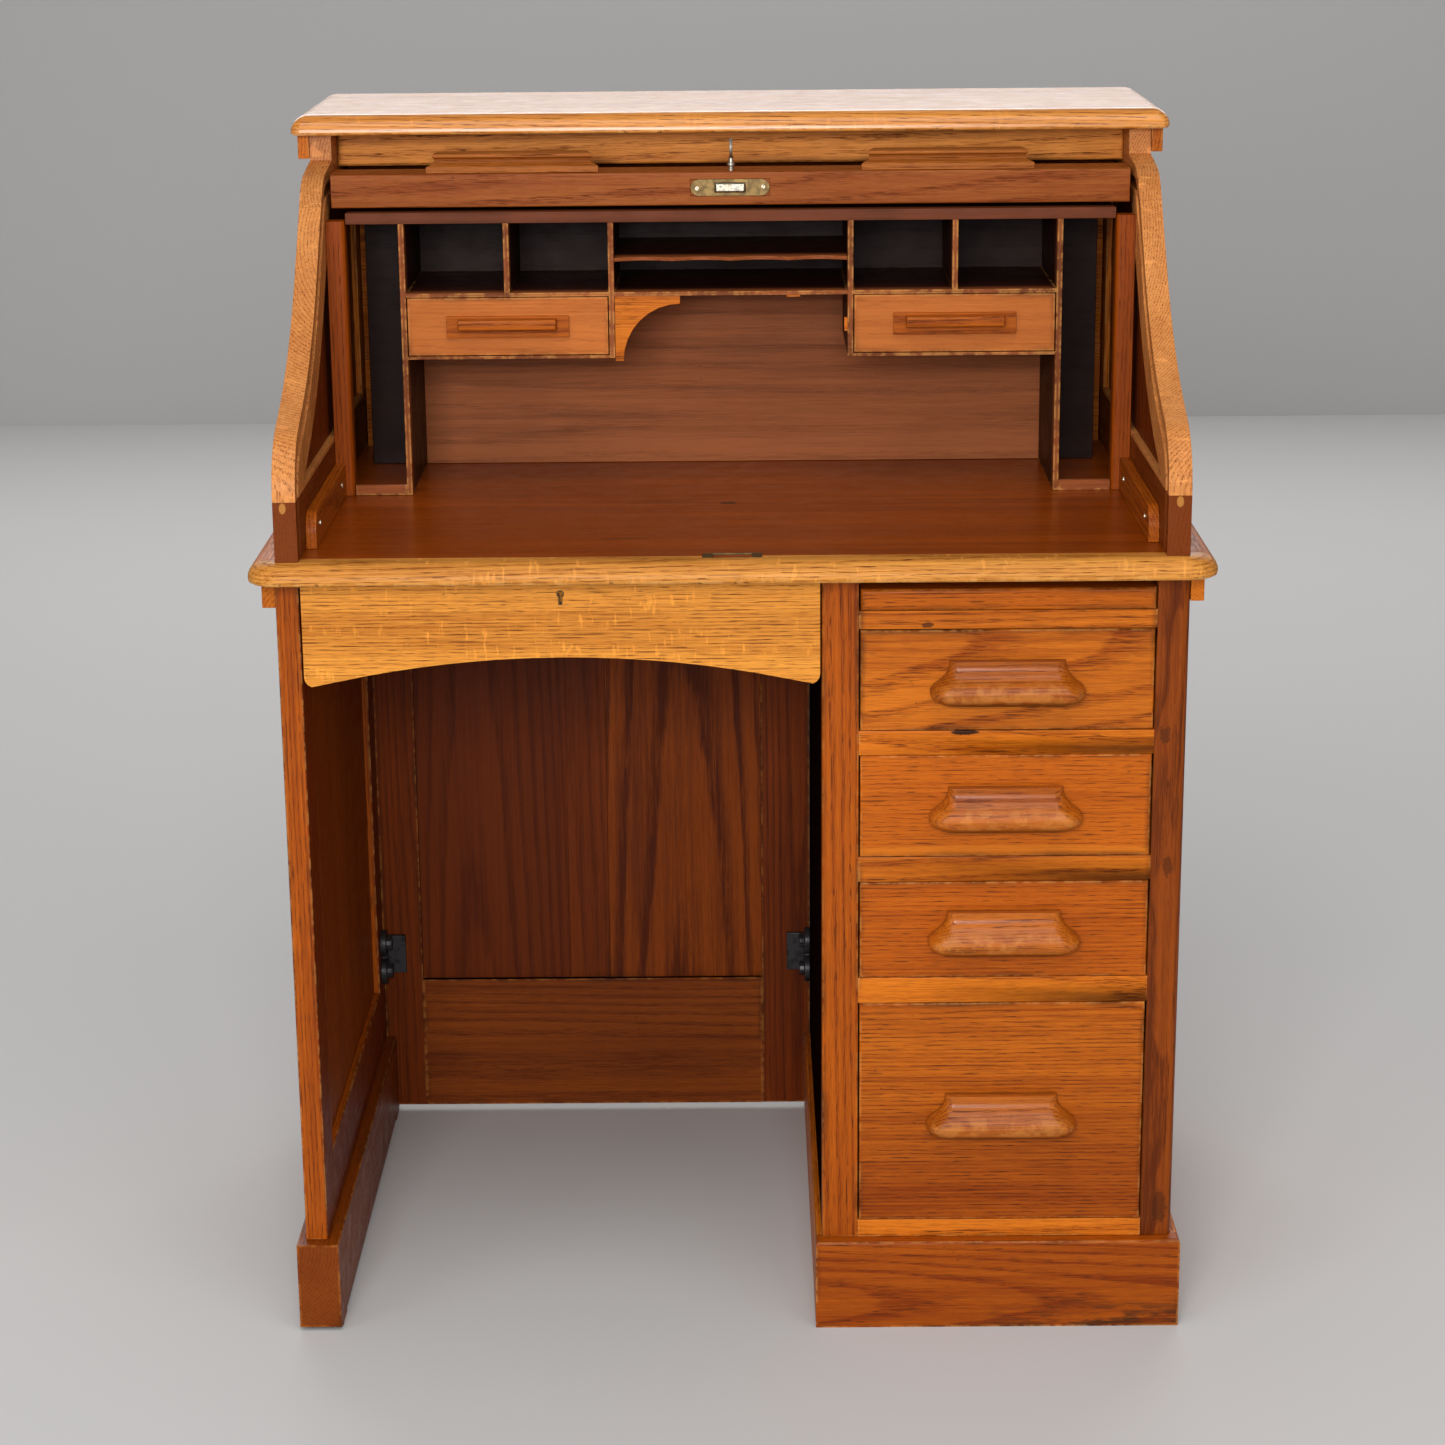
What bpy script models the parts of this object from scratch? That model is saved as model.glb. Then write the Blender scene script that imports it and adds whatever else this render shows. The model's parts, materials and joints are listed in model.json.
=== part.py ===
"""Single-pedestal roll top desk: S-shaped ends, a slatted curtain, a pigeonhole rack, a pedestal of four
drawers with a pull-out slide above them, and an arched knee drawer.

Metres, +Z up. The origin is on the floor under the middle of the desk; the sitter is at -Y.
The desk is drawn with its curtain rolled up, its drawers shut and its key upright in the lock rail.
"""
import math

import bmesh
import bpy
from mathutils import Vector

# ---------------------------------------------------------------- overall sizes
DESK_WIDTH = 0.8846            # over the mouldings of the writing top
DESK_DEPTH = 0.611             # front nosing to back
WRITING_HEIGHT = 0.780         # floor to writing surface
CASE_HEIGHT = 0.369            # writing surface to the very top

# ---------------------------------------------------------------- fits
GAP = 0.0003                   # between pieces that touch
RUN = 0.0010                   # round a drawer, slide or curtain that runs
DRAWER_SHOW = 0.0014           # the thin dark line left round a drawer front
DRAWER_SET_BACK = 0.0005       # drawer fronts behind the stiles
BOX_GAP = 0.003                # a drawer's box to its opening's sides
BITE = 0.004                   # how far shapes that are joined run into each other
THROUGH = 0.010                # how far a cutter runs past the face it cuts
ARRIS = 0.0020                 # softened front edges of the stiles

# ---------------------------------------------------------------- writing top and its cleats
TOP_THICKNESS = 0.0200
TOP_BEVEL = 0.017              # how far the sloped edge comes in from the side
TOP_NOSE = 0.0042              # radius of the small round nose under the slope
TOP_CORNER = 0.028
FRONT_OVERHANG = 0.056         # nosing to the front face of the stiles
SIDE_OVERHANG = 0.0198         # moulding to the outer face of the ends
CLEAT_WIDTH = 0.0125
CLEAT_HEIGHT = 0.0330
TROUGH_ROOM = 0.0025           # under the tail of the rolled-up curtain, which drops into the top
TROUGH_FRONT = 0.043           # trough in the top, from the desk's back
TROUGH_REAR = 0.012
TROUGH_SIDE = 0.0008           # trough's ends to the inner faces of the S-shaped ends
CLEAT_SET = 0.004              # cleat behind the face of the stiles

# ---------------------------------------------------------------- ends, pedestal and knee hole
END_THICKNESS = 0.022
END_STILE = 0.058
END_RAIL = 0.070
PANEL_THICKNESS = 0.009
PLINTH_HEIGHT = 0.0911
PLINTH_PROUD = 0.0120          # ahead of the stiles
PLINTH_SIDE_PROUD = 0.0080
PLINTH_WALL = 0.020
SKID_INSIDE_PROUD = 0.0110
GLIDE_HEIGHT = 0.004
GLIDE_LENGTH = 0.030
GLIDE_SET = 0.012              # glide in from each end of the skid
BASE_ROUND = 0.004             # rounded top edge of the skid and the plinth
POST_ROUND = 0.007             # rounded front corner of the pedestal
PEDESTAL_WIDTH = 0.3403
KNEE_STILE = 0.0344
OUTER_STILE = 0.0301
SIDE_THICKNESS = 0.016
FRONT_FRAME_THICKNESS = 0.022
BACK_THICKNESS = 0.008
MODESTY_THICKNESS = 0.014
MODESTY_RECESS = 0.006
MODESTY_STILE_LEFT = 0.044
MODESTY_STILE_RIGHT = 0.054
MODESTY_RAIL = 0.152
MODESTY_FLOOR_GAP = 0.008
RECESS = 0.006                 # panel behind the frame on the pedestal's outer face
FLOOR_BOARD = 0.0035
FASTENER_HEIGHT = 0.193        # iron knock-down fasteners in the knee hole's rear corners
FASTENER_THICKNESS = 0.006
FASTENER_LOBE = 0.015          # radius of each round lobe
FASTENER_LOBE_RISE = 0.0165    # lobe above and below the fastener's middle
FASTENER_LOBE_SET = 0.014      # lobe ahead of the modesty panel
FASTENER_HALF = 0.024
FASTENER_BOSS = 0.008
FASTENER_BOSS_PROUD = 0.006
FASTENER_FOOT = (0.026, 0.005, 0.022)   # width, thickness and half height of its foot

# ---------------------------------------------------------------- drawers, from the top down
SLIDE_HEAD = 0.0170             # space over the pull-out slide
SLIDE_THICKNESS = 0.0210
SLIDE_PROUD = 0.002            # slide's edge ahead of the stiles
SLIDE_TAIL = 0.060
SLIDE_CORNER = 0.004
RAILS = (0.017, 0.022, 0.023, 0.024)   # the rails over each pedestal drawer
DRAWERS = (0.099, 0.102, 0.098)        # openings of the three upper drawers
BOTTOM_RAIL = 0.017
DRAWER_FRONT = 0.019
DRAWER_SIDE = 0.010
DRAWER_BOTTOM = 0.007
DRAWER_TAIL = 0.020            # left between a drawer's back and the desk's back
RUNNER_WIDTH = 0.030
RUNNER_THICKNESS = 0.012
KNEE_DRAWER_HEIGHT = 0.106
KNEE_ARCH = 0.0275
KNEE_FOOT = 0.006              # straight stretch at each end of the arch
KNEE_DRAWER_DEPTH = 0.400
KNEE_BOX_HEIGHT = 0.056
KNEE_CORNER = 0.010            # round of the front's lower corners
KNEE_SHOULDER = 0.018          # where the arch starts, from the front's end
KNEE_RUNNER = 0.016
KNEE_BOX_SIDE = 0.004
KNEE_HEADROOM = 0.0027         # drawer front to the underside of the top
KEYHOLE_HEIGHT = 0.014
KEYHOLE_EYE = 0.0036
KEYHOLE_SLOT = 0.0019          # half width of the slot
KEYHOLE_DEPTH = 0.011
BUSH_WALL = 0.0010
BUSH_DEPTH = 0.008

# ---------------------------------------------------------------- turned-under drawer pulls
PULL_WIDTH = 0.144
PULL_TOP_WIDTH = 0.108
PULL_HEIGHT = 0.041
PULL_DEPTH = 0.027
PULL_TOP_DEPTH = 0.010
PULL_TUCK = 0.016              # how far the round nose turns back under
PULL_CORNER = 0.017
PULL_DROP = 0.001              # pull below the middle of its drawer

# ---------------------------------------------------------------- S-shaped ends
S_THICKNESS = 0.0212
S_INSET = 0.0272               # moulding of the writing top to the outer face
S_SETBACK = 0.016              # nosing to the foot of the S
S_RISE = 0.055                 # upright stretch at the foot
S_BULGE = 0.065                # radius of the round belly
S_BULGE_TURN = 68
S_SLOPE = 0.0317               # short straight above the belly
S_SWEEP = 0.380                # radius of the hollow
S_SWEEP_TURN = 26
S_SHOULDER = 0.055             # radius of the shoulder
S_SHOULDER_TURN = 40
S_SHOULDER_DROP = 0.0453       # shoulder's end below the very top
S_SHOULDER_FLAT = 0.054        # gently rising stretch behind the shoulder
S_STILE = 0.056
S_RAIL = 0.060
S_PANEL = 0.010
S_ARRIS = 0.0028               # softened edge along the S
GROOVE_INSET = 0.0105          # the curtain's groove, in from the S edge
GROOVE_WIDTH = 0.0125
GROOVE_DEPTH = 0.006

# ---------------------------------------------------------------- curtain
CANVAS_INSET = 0.021           # canvas face, in from the S edge
SLAT_THICKNESS = 0.009
SECTIONS = 10
SECTION_SHY = 0.00015          # half the gap between sections
CURTAIN_SIDE_GAP = 0.0014      # slats' ends to the inner faces of the S-shaped ends
BEND_LOSS = 0.0025             # what straight hops lose against the curved path
BACK_BEND = 0.045              # radius of the bend behind the rack
CURTAIN_BEHIND = 0.031         # canvas of the rolled-up run to the desk's back
RAIL_LENGTH = 0.050            # lock rail along the curtain's path
RAIL_THICKNESS = 0.0325
RAIL_SINK = 0.0015             # lock rail's face, in from the S edge
RAIL_SIDE_GAP = 0.0045
RAIL_PROUD = 0.0105            # open lock rail, ahead of the end of the shoulder bend

# ---------------------------------------------------------------- top board and its rail
LID_THICKNESS = 0.0195
LID_INSET = 0.0108              # in from the writing top's sides
LID_FRONT = 0.3567             # writing top's nosing to the top board's front
LID_BEVEL = 0.017
LID_NOSE = 0.0032
LID_CLEAT_WIDTH = 0.0112
LID_CLEAT_HEIGHT = 0.0240
LID_CLEAT_SET = 0.020          # cleat behind the top board's front
LID_CORNER = 0.010
FIXED_RAIL_THICKNESS = 0.016
FIXED_RAIL_HEIGHT = 0.0362
FIXED_RAIL_SET = 0.424         # nosing to the fixed rail's face
CASE_BACK_THICKNESS = 0.008
CASE_BACK_STILE = 0.050

# ---------------------------------------------------------------- pigeonhole rack
RACK_SET = 0.310               # nosing to the rack's front
RACK_DEPTH = 0.160
RACK_BACK = 0.008
RACK_CLEARANCE = 0.00342       # rack's top to the rolled-up lock rail
RACK_TOP = 0.0106
RACK_BOARD = 0.0055
RACK_POSTS = 0.0190            # side posts, outside the rack
OUTER_BAY = 0.0512             # tall bay at each end
SMALL_BAY = 0.0965             # one small pigeonhole
PIGEONHOLE_HEIGHT = 0.0677     # clear height of a small pigeonhole
SMALL_SHELF = 0.004
SMALL_DRAWER_HEIGHT = 0.058
SMALL_FLOOR = 0.0030
SCALLOP_RISE = 0.033           # scalloped shelf over the shelf below it
SCALLOP_THICKNESS = 0.0036
BRACKET_SIZE = 0.060
THRESHOLD = 0.010
BATTEN_SET = 0.071             # nosing to the batten's rounded end
BATTEN_HEIGHT = 0.033
BATTEN_THICKNESS = 0.010
POST_DEPTH = 0.018
POST_PROUD = 0.002             # side posts ahead of the rack
POST_DROP = 0.0075             # side posts' tops below the rack's
POST_NOSE = 0.005
BATTEN_ROUND = 0.020
THRESHOLD_DEPTH = 0.006
RACK_TAIL_GAP = 0.004          # small drawers' backs to the rack's back
SMALL_FACE_SET = 0.001         # small drawer fronts behind the rack's edges
SMALL_PULL = (0.060, 0.048)    # half length of the plate and of the grip
SMALL_PULL_PROUD = (0.017, 0.0045)      # grip and plate ahead of the drawer
SMALL_PULL_LEVELS = (-0.0105, -0.002, 0.0085, 0.0105)
SCALLOP_SET = 0.003
SCALLOP_WAVE = 0.008           # depth of a scallop
SCALLOPS = 4
BRACKET_REST = 0.004           # flat end left on each arm of the corner bracket
BRACKET_THICKNESS = 0.008

# ---------------------------------------------------------------- lock
LOCK_PLATE = (0.077, 0.0160, 0.0015)
BOLT_SIZE = (0.0290, 0.0085)
BOLT_REST = 0.003
BOLT_THROW = 0.008
STRIKE = (0.054, 0.020, 0.0015)
KEY_RADIUS = 0.0026
KEY_STAND = 0.030
KEY_BOW = 0.0085               # half height of the key's oval bow
KEY_WIRE = 0.0017              # radius of the bow's rod
KEY_X = 0.001
KEY_SET = 0.012                # key behind the lock rail's lower face
KEY_CLEARANCE = 0.0006
KEY_COLLAR = 1.5               # collar's radius over the shaft's
BOLT_DEPTH = 0.012
BOLT_POCKET = 0.026
PLATE_PROUD = 0.0001
BOLT_EDGE = 0.0012
LOCK_LEVEL = 0.47              # lock's middle, as a share of the rail's thickness
SLOT_MARGIN = (0.0035, 0.0030) # strike's slot past the bolt, along and across the rail
SLOT_BELOW_BOLT = 0.006
LIFT_SPREAD = 0.212            # middle of each finger lift from the desk's middle
LIFT_BACK = 0.026

FRONT = -DESK_DEPTH / 2
BACK = DESK_DEPTH / 2
HALF = DESK_WIDTH / 2
STILE_FACE = FRONT + FRONT_OVERHANG
UNDER_TOP = WRITING_HEIGHT - TOP_THICKNESS - GAP
END_FACE = HALF - SIDE_OVERHANG                 # outer face of both ends
KNEE_LEFT = -END_FACE + END_THICKNESS
KNEE_RIGHT = END_FACE - PEDESTAL_WIDTH
OPEN_LEFT = KNEE_RIGHT + KNEE_STILE
OPEN_RIGHT = END_FACE - OUTER_STILE
PLINTH_TOP = PLINTH_HEIGHT + GAP
S_OUT = HALF - S_INSET
S_IN = S_OUT - S_THICKNESS
S_FOOT = FRONT + S_SETBACK
TOTAL_HEIGHT = WRITING_HEIGHT + CASE_HEIGHT
LID_UNDER = TOTAL_HEIGHT - LID_THICKNESS - GAP
ON_TOP = WRITING_HEIGHT + GAP
RACK_FRONT = FRONT + RACK_SET
RACK_REAR = RACK_FRONT + RACK_DEPTH
REAR_SLOPE = math.radians(90 - S_BULGE_TURN + S_SWEEP_TURN - S_SHOULDER_TURN)
SHOULDER_END = TOTAL_HEIGHT - S_SHOULDER_DROP - S_SHOULDER_FLAT * math.sin(REAR_SLOPE)
CURTAIN_LEVEL = SHOULDER_END + S_SHOULDER * (1 - math.cos(REAR_SLOPE)) - CANVAS_INSET
RACK_ROOF = CURTAIN_LEVEL + CANVAS_INSET - RAIL_SINK - RAIL_THICKNESS - RACK_CLEARANCE
RACK_HALF = S_IN - RACK_POSTS
FIXED_FACE = FRONT + FIXED_RAIL_SET
KNEE_TOP = UNDER_TOP - KNEE_HEADROOM
KNEE_BOX_FLOOR = KNEE_TOP - KNEE_DRAWER_HEIGHT + KNEE_ARCH + 0.004
KEYHOLE_LEVEL = KNEE_TOP - 0.018
BAY_OUTER = RACK_HALF - OUTER_BAY - RACK_BOARD
BAY_INNER = BAY_OUTER - 2 * SMALL_BAY - 2 * RACK_BOARD
HALF_BAY = BAY_INNER + RACK_BOARD + (BAY_OUTER - BAY_INNER - RACK_BOARD) / 2
SHELF_LEVEL = RACK_ROOF - RACK_TOP - PIGEONHOLE_HEIGHT - SMALL_SHELF
STRIKE_MIDDLE = S_FOOT + RAIL_SINK + RAIL_THICKNESS * LOCK_LEVEL
SLOT_HALF = BOLT_SIZE[0] / 2 + SLOT_MARGIN[0]
SLOT_DEEP = BOLT_SIZE[1] / 2 + SLOT_MARGIN[1]


# ================================================================ building blocks
def clear_scene():
    for obj in list(bpy.data.objects):
        bpy.data.objects.remove(obj)


def finish(name, red, green, blue, roughness, metallic=0.0):
    material = bpy.data.materials.new(name)
    material.use_nodes = True
    shader = material.node_tree.nodes["Principled BSDF"]
    shader.inputs["Base Color"].default_value = (red, green, blue, 1)
    shader.inputs["Roughness"].default_value = roughness
    shader.inputs["Metallic"].default_value = metallic
    return material


def piece(name, bm, material, origin=(0, 0, 0), smooth=False):
    """A named object from a bmesh in world coordinates, with its origin at the given point."""
    bmesh.ops.recalc_face_normals(bm, faces=bm.faces)
    bmesh.ops.translate(bm, verts=bm.verts, vec=-Vector(origin))
    mesh = bpy.data.meshes.new(name)
    bm.to_mesh(mesh)
    bm.free()
    mesh.materials.append(material)
    if smooth:
        mesh.shade_smooth()
        mesh.set_sharp_from_angle(angle=math.radians(38))
    obj = bpy.data.objects.new(name, mesh)
    obj.location = origin
    bpy.context.scene.collection.objects.link(obj)
    return obj


def cells(xs, ys, zs, filled):
    """A solid of the filled cells of a grid: filled(i, j, k) says whether a cell is wood."""
    bm = bmesh.new()
    corners = {}

    def corner(i, j, k):
        if (i, j, k) not in corners:
            corners[i, j, k] = bm.verts.new((xs[i], ys[j], zs[k]))
        return corners[i, j, k]

    size = (len(xs) - 1, len(ys) - 1, len(zs) - 1)

    def solid(c):
        return all(0 <= c[n] < size[n] for n in range(3)) and filled(*c)

    for i in range(size[0]):
        for j in range(size[1]):
            for k in range(size[2]):
                if not filled(i, j, k):
                    continue
                for axis in range(3):
                    for side in (0, 1):
                        beside = [i, j, k]
                        beside[axis] += 1 if side else -1
                        if solid(tuple(beside)):
                            continue
                        loop = []
                        for a, b in ((0, 0), (1, 0), (1, 1), (0, 1)):
                            at = [i, j, k]
                            at[axis] += side
                            at[(axis + 1) % 3] += a
                            at[(axis + 2) % 3] += b
                            loop.append(corner(*at))
                        bm.faces.new(loop if side else loop[::-1])
    bmesh.ops.dissolve_limit(bm, angle_limit=0.001, verts=bm.verts, edges=bm.edges)
    return bm


def block(x0, x1, y0, y1, z0, z1):
    return cells((x0, x1), (y0, y1), (z0, z1), lambda i, j, k: True)


def prism(outline, axis, low, high):
    """A closed outline pushed along an axis. X takes (y, z) points, Y takes (x, z), Z takes (x, y)."""
    place = {"X": lambda p, d: (d, p[0], p[1]), "Y": lambda p, d: (p[0], d, p[1]),
             "Z": lambda p, d: (p[0], p[1], d)}[axis]
    bm = bmesh.new()
    near = [bm.verts.new(place(p, low)) for p in outline]
    far = [bm.verts.new(place(p, high)) for p in outline]
    bm.faces.new(near)
    bm.faces.new(far[::-1])
    for n in range(len(outline)):
        m = (n + 1) % len(outline)
        bm.faces.new((near[n], near[m], far[m], far[n]))
    return bm


def stack(rings):
    """A solid through rings of equally many points, closed by its first and last ring."""
    bm = bmesh.new()
    rows = [[bm.verts.new(p) for p in ring] for ring in rings]
    bm.faces.new(rows[0])
    bm.faces.new(rows[-1][::-1])
    for low, high in zip(rows, rows[1:]):
        for n in range(len(low)):
            m = (n + 1) % len(low)
            bm.faces.new((low[n], low[m], high[m], high[n]))
    return bm


def ease(bm, width, wanted, segments=1):
    """Round the edges whose two ends both satisfy wanted(point)."""
    edges = [e for e in bm.edges if all(wanted(v.co) for v in e.verts) and e.calc_face_angle(0) > 0.6]
    bmesh.ops.bevel(bm, geom=edges, offset=width, segments=segments, profile=0.5, affect="EDGES",
                    clamp_overlap=True)
    return bm


def cut(obj, bm, operation="DIFFERENCE"):
    """Cut a hidden shape out of an object, or join it on."""
    bmesh.ops.recalc_face_normals(bm, faces=bm.faces)
    mesh = bpy.data.meshes.new(obj.name + "_cutter")
    bm.to_mesh(mesh)
    bm.free()
    cutter = bpy.data.objects.new(mesh.name, mesh)
    cutter.hide_render = True
    cutter.display_type = "WIRE"
    bpy.context.scene.collection.objects.link(cutter)
    modifier = obj.modifiers.new(operation.lower(), "BOOLEAN")
    modifier.operation = operation
    modifier.object = cutter
    modifier.solver = "EXACT"
    return obj


def arc(centre, radius, start, end, steps):
    """Points on a circle from one angle to another, in degrees."""
    return [(centre[0] + radius * math.cos(math.radians(start + (end - start) * n / steps)),
             centre[1] + radius * math.sin(math.radians(start + (end - start) * n / steps)))
            for n in range(steps + 1)]


def edge_section(thickness, bevel, nose):
    """(inset, height) points up a moulded edge: a small round nose, then a full sloping bevel."""
    lower = [(nose - x, z) for x, z in arc((0, nose), nose, -90, 0, 4)]
    rise = thickness - lower[-1][1]
    upper = [(bevel * (1 - math.cos(a)), lower[-1][1] + rise * math.sin(a))
             for a in (math.radians(15 * n) for n in range(1, 7))]
    return lower + upper


def moulded_board(name, half, front, back, under, thickness, bevel, nose, corner, material):
    """A board with a moulded edge along its front and both sides, and rounded front corners."""
    rings = []
    for inset, height in edge_section(thickness, bevel, nose):
        x, y, r = half - inset, front + inset, max(corner - inset * 0.5, 0.002)
        plan = [(-x, back)] + arc((-x + r, y + r), r, 180, 270, 4) + arc((x - r, y + r), r, 270, 360, 4)
        plan.append((x, back))
        rings.append([(px, py, under + height) for px, py in plan])
    return piece(name, stack(rings), material, smooth=True)


# ================================================================ the S and the curtain's path
def path_legs(inset):
    """Legs of the S edge, or of a line that runs beside it inside the end."""
    up = math.radians(90 - S_BULGE_TURN)
    steep = math.radians(90 - S_BULGE_TURN + S_SWEEP_TURN)
    last = REAR_SLOPE
    climb = CASE_HEIGHT - S_SHOULDER_DROP
    climb -= S_RISE + S_BULGE * math.cos(up) + S_SLOPE * math.sin(up)
    climb -= S_SWEEP * (math.cos(up) - math.cos(steep)) + S_SHOULDER * (math.cos(last) - math.cos(steep))
    climb -= S_SHOULDER_FLAT * math.sin(last)
    return [(S_RISE, 0, 0), (0, S_BULGE - inset, -S_BULGE_TURN), (S_SLOPE, 0, 0),
            (0, S_SWEEP + inset, S_SWEEP_TURN), (climb / math.sin(steep), 0, 0),
            (0, S_SHOULDER - inset, -S_SHOULDER_TURN)]


def walk(start, heading, legs):
    """Follow straight legs (length, 0, 0) and bends (0, radius, degrees, left positive)."""
    runs, here, angle = [], Vector(start), math.radians(heading)
    for length, radius, turn in legs:
        if radius:
            turn = math.radians(turn)
            runs.append((here, angle, radius * abs(turn), radius, turn))
            side = math.copysign(1, turn)
            centre = here + side * radius * Vector((-math.sin(angle), math.cos(angle)))
            angle += turn
            here = centre - side * radius * Vector((-math.sin(angle), math.cos(angle)))
        else:
            runs.append((here, angle, length, 0, 0))
            here = here + length * Vector((math.cos(angle), math.sin(angle)))
    return runs, here, angle


def point_on(runs, distance):
    for here, angle, length, radius, turn in runs:
        if distance <= length or runs[-1][0] is here:
            break
        distance -= length
    if not radius:
        return here + distance * Vector((math.cos(angle), math.sin(angle)))
    side = math.copysign(1, turn)
    centre = here + side * radius * Vector((-math.sin(angle), math.cos(angle)))
    angle += side * distance / radius
    return centre - side * radius * Vector((-math.sin(angle), math.cos(angle)))


def along(runs, steps):
    """Points down a walked line, with each bend in the given number of steps."""
    points = [runs[0][0]]
    done = 0
    for run in runs:
        count = steps if run[3] else 1
        points += [point_on(runs, done + run[2] * (n + 1) / count) for n in range(count)]
        done += run[2]
    return points


def s_edge(inset, steps=9):
    runs, _, _ = walk((S_FOOT + inset, WRITING_HEIGHT), 90, path_legs(inset))
    return along(runs, steps)


def curtain_path():
    """The canvas line: up the S, level through the slot, round the bend and down behind the rack."""
    legs = path_legs(CANVAS_INSET)
    rest_of_turn = 90 - S_BULGE_TURN + S_SWEEP_TURN
    legs[-1] = (0, S_SHOULDER - CANVAS_INSET, -rest_of_turn)
    runs, slot, _ = walk((S_FOOT + CANVAS_INSET, WRITING_HEIGHT), 90, legs)
    level = BACK - CURTAIN_BEHIND - BACK_BEND - slot.x
    legs += [(level, 0, 0), (0, BACK_BEND, -90), (CASE_HEIGHT, 0, 0)]
    runs, _, _ = walk((S_FOOT + CANVAS_INSET, WRITING_HEIGHT), 90, legs)
    before_slot = sum(run[2] for run in runs[:6])
    return runs, slot, before_slot


def hops(runs, start, length, count):
    """Points down the path, each a straight length from the one before."""
    points, at = [point_on(runs, start)], start
    for _ in range(count):
        low, high = at, at + length * 1.6
        for _ in range(50):
            middle = (low + high) / 2
            if (point_on(runs, middle) - points[-1]).length < length:
                low = middle
            else:
                high = middle
        at = low
        points.append(point_on(runs, at))
    return points


def curtain_stations():
    """Where the lock rail and each section begin and end, rolled up and shut."""
    runs, slot, before_slot = curtain_path()
    shut_foot = GAP + 0.0002
    shut_end = before_slot + FIXED_FACE - slot.x - 0.0004
    pitch = (shut_end - shut_foot - RAIL_LENGTH - BEND_LOSS) / SECTIONS
    open_foot = before_slot - RAIL_PROUD
    shut = hops(runs, shut_foot + RAIL_LENGTH, pitch, SECTIONS)
    opened = hops(runs, open_foot + RAIL_LENGTH, pitch, SECTIONS)
    return ([point_on(runs, open_foot)] + opened, [point_on(runs, shut_foot)] + shut, runs,
            shut_foot + RAIL_LENGTH, pitch)


def pole(opened_from, opened_to, shut_from, shut_to):
    """The point and the turn that carry a straight length from rolled up to shut."""
    before, after = opened_to - opened_from, shut_to - shut_from
    turn = math.atan2(after.y, after.x) - math.atan2(before.y, before.x)
    if turn < 0:
        turn += 2 * math.pi
    step = shut_from - opened_from
    middle = (shut_from + opened_from) / 2
    return middle + Vector((-step.y, step.x)) / (2 * math.tan(turn / 2)), turn


# ================================================================ lower carcass
def make_desktop(oak):
    top = moulded_board("desktop", HALF, FRONT, BACK, WRITING_HEIGHT - TOP_THICKNESS, TOP_THICKNESS,
                        TOP_BEVEL, TOP_NOSE, TOP_CORNER, oak)
    under = WRITING_HEIGHT - TOP_THICKNESS
    for side in (-1, 1):
        inner = side * (END_FACE + GAP)
        outer = side * (END_FACE + GAP + CLEAT_WIDTH)
        cut(top, block(min(inner, outer), max(inner, outer), STILE_FACE + CLEAT_SET, BACK - CLEAT_SET / 2,
                       under - CLEAT_HEIGHT, under + BITE), "UNION")
    tail = curtain_stations()[0][-1].y
    above = WRITING_HEIGHT + THROUGH
    cut(top, block(-S_IN + TROUGH_SIDE, S_IN - TROUGH_SIDE, BACK - TROUGH_FRONT, BACK - TROUGH_REAR,
                   tail - TROUGH_ROOM, above))
    wide, deep, thick = STRIKE
    cut(top, block(-wide / 2 - GAP, wide / 2 + GAP, STRIKE_MIDDLE - deep / 2 - GAP,
                   STRIKE_MIDDLE + deep / 2 + GAP, WRITING_HEIGHT - thick - GAP, above))
    cut(top, block(-SLOT_HALF, SLOT_HALF, STRIKE_MIDDLE - SLOT_DEEP, STRIKE_MIDDLE + SLOT_DEEP,
                   WRITING_HEIGHT - BOLT_REST - BOLT_THROW - SLOT_BELOW_BOLT, above))


def make_strike(brass):
    wide, deep, thick = STRIKE
    xs = (-wide / 2, -SLOT_HALF, SLOT_HALF, wide / 2)
    ys = (STRIKE_MIDDLE - deep / 2, STRIKE_MIDDLE - SLOT_DEEP, STRIKE_MIDDLE + SLOT_DEEP,
          STRIKE_MIDDLE + deep / 2)
    zs = (WRITING_HEIGHT - thick, WRITING_HEIGHT)
    piece("strike_plate", cells(xs, ys, zs, lambda i, j, k: (i, j) != (1, 1)), brass)


def runner(inner, outer, top):
    """Outline points (x, z) of a runner that stands out from a side board, listed downwards."""
    return [(inner, top), (outer, top), (outer, top - RUNNER_THICKNESS), (inner, top - RUNNER_THICKNESS)]


def make_left_end(oak):
    back = BACK - GAP
    xs = (-END_FACE, -END_FACE + END_THICKNESS)
    ys = (STILE_FACE, STILE_FACE + END_STILE, back - END_STILE, back)
    zs = (PLINTH_TOP, PLINTH_TOP + END_RAIL, UNDER_TOP - END_RAIL, UNDER_TOP)
    frame = cells(xs, ys, zs, lambda i, j, k: (j, k) != (1, 1))
    ease(frame, ARRIS, lambda p: p.y < STILE_FACE + 1e-5, 2)
    end = piece("left_end_frame", frame, oak)
    inner = xs[1]
    cut(end, block(inner - BITE, inner + KNEE_RUNNER, STILE_FACE + DRAWER_FRONT + ARRIS,
                   STILE_FACE + KNEE_DRAWER_DEPTH, KNEE_BOX_FLOOR - RUN - RUNNER_THICKNESS,
                   KNEE_BOX_FLOOR - RUN), "UNION")
    middle = -END_FACE + END_THICKNESS / 2
    panel = block(middle - PANEL_THICKNESS / 2, middle + PANEL_THICKNESS / 2, ys[1] + GAP, ys[2] - GAP,
                  zs[1] + GAP, zs[2] - GAP)
    piece("left_end_panel", panel, oak)


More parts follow.
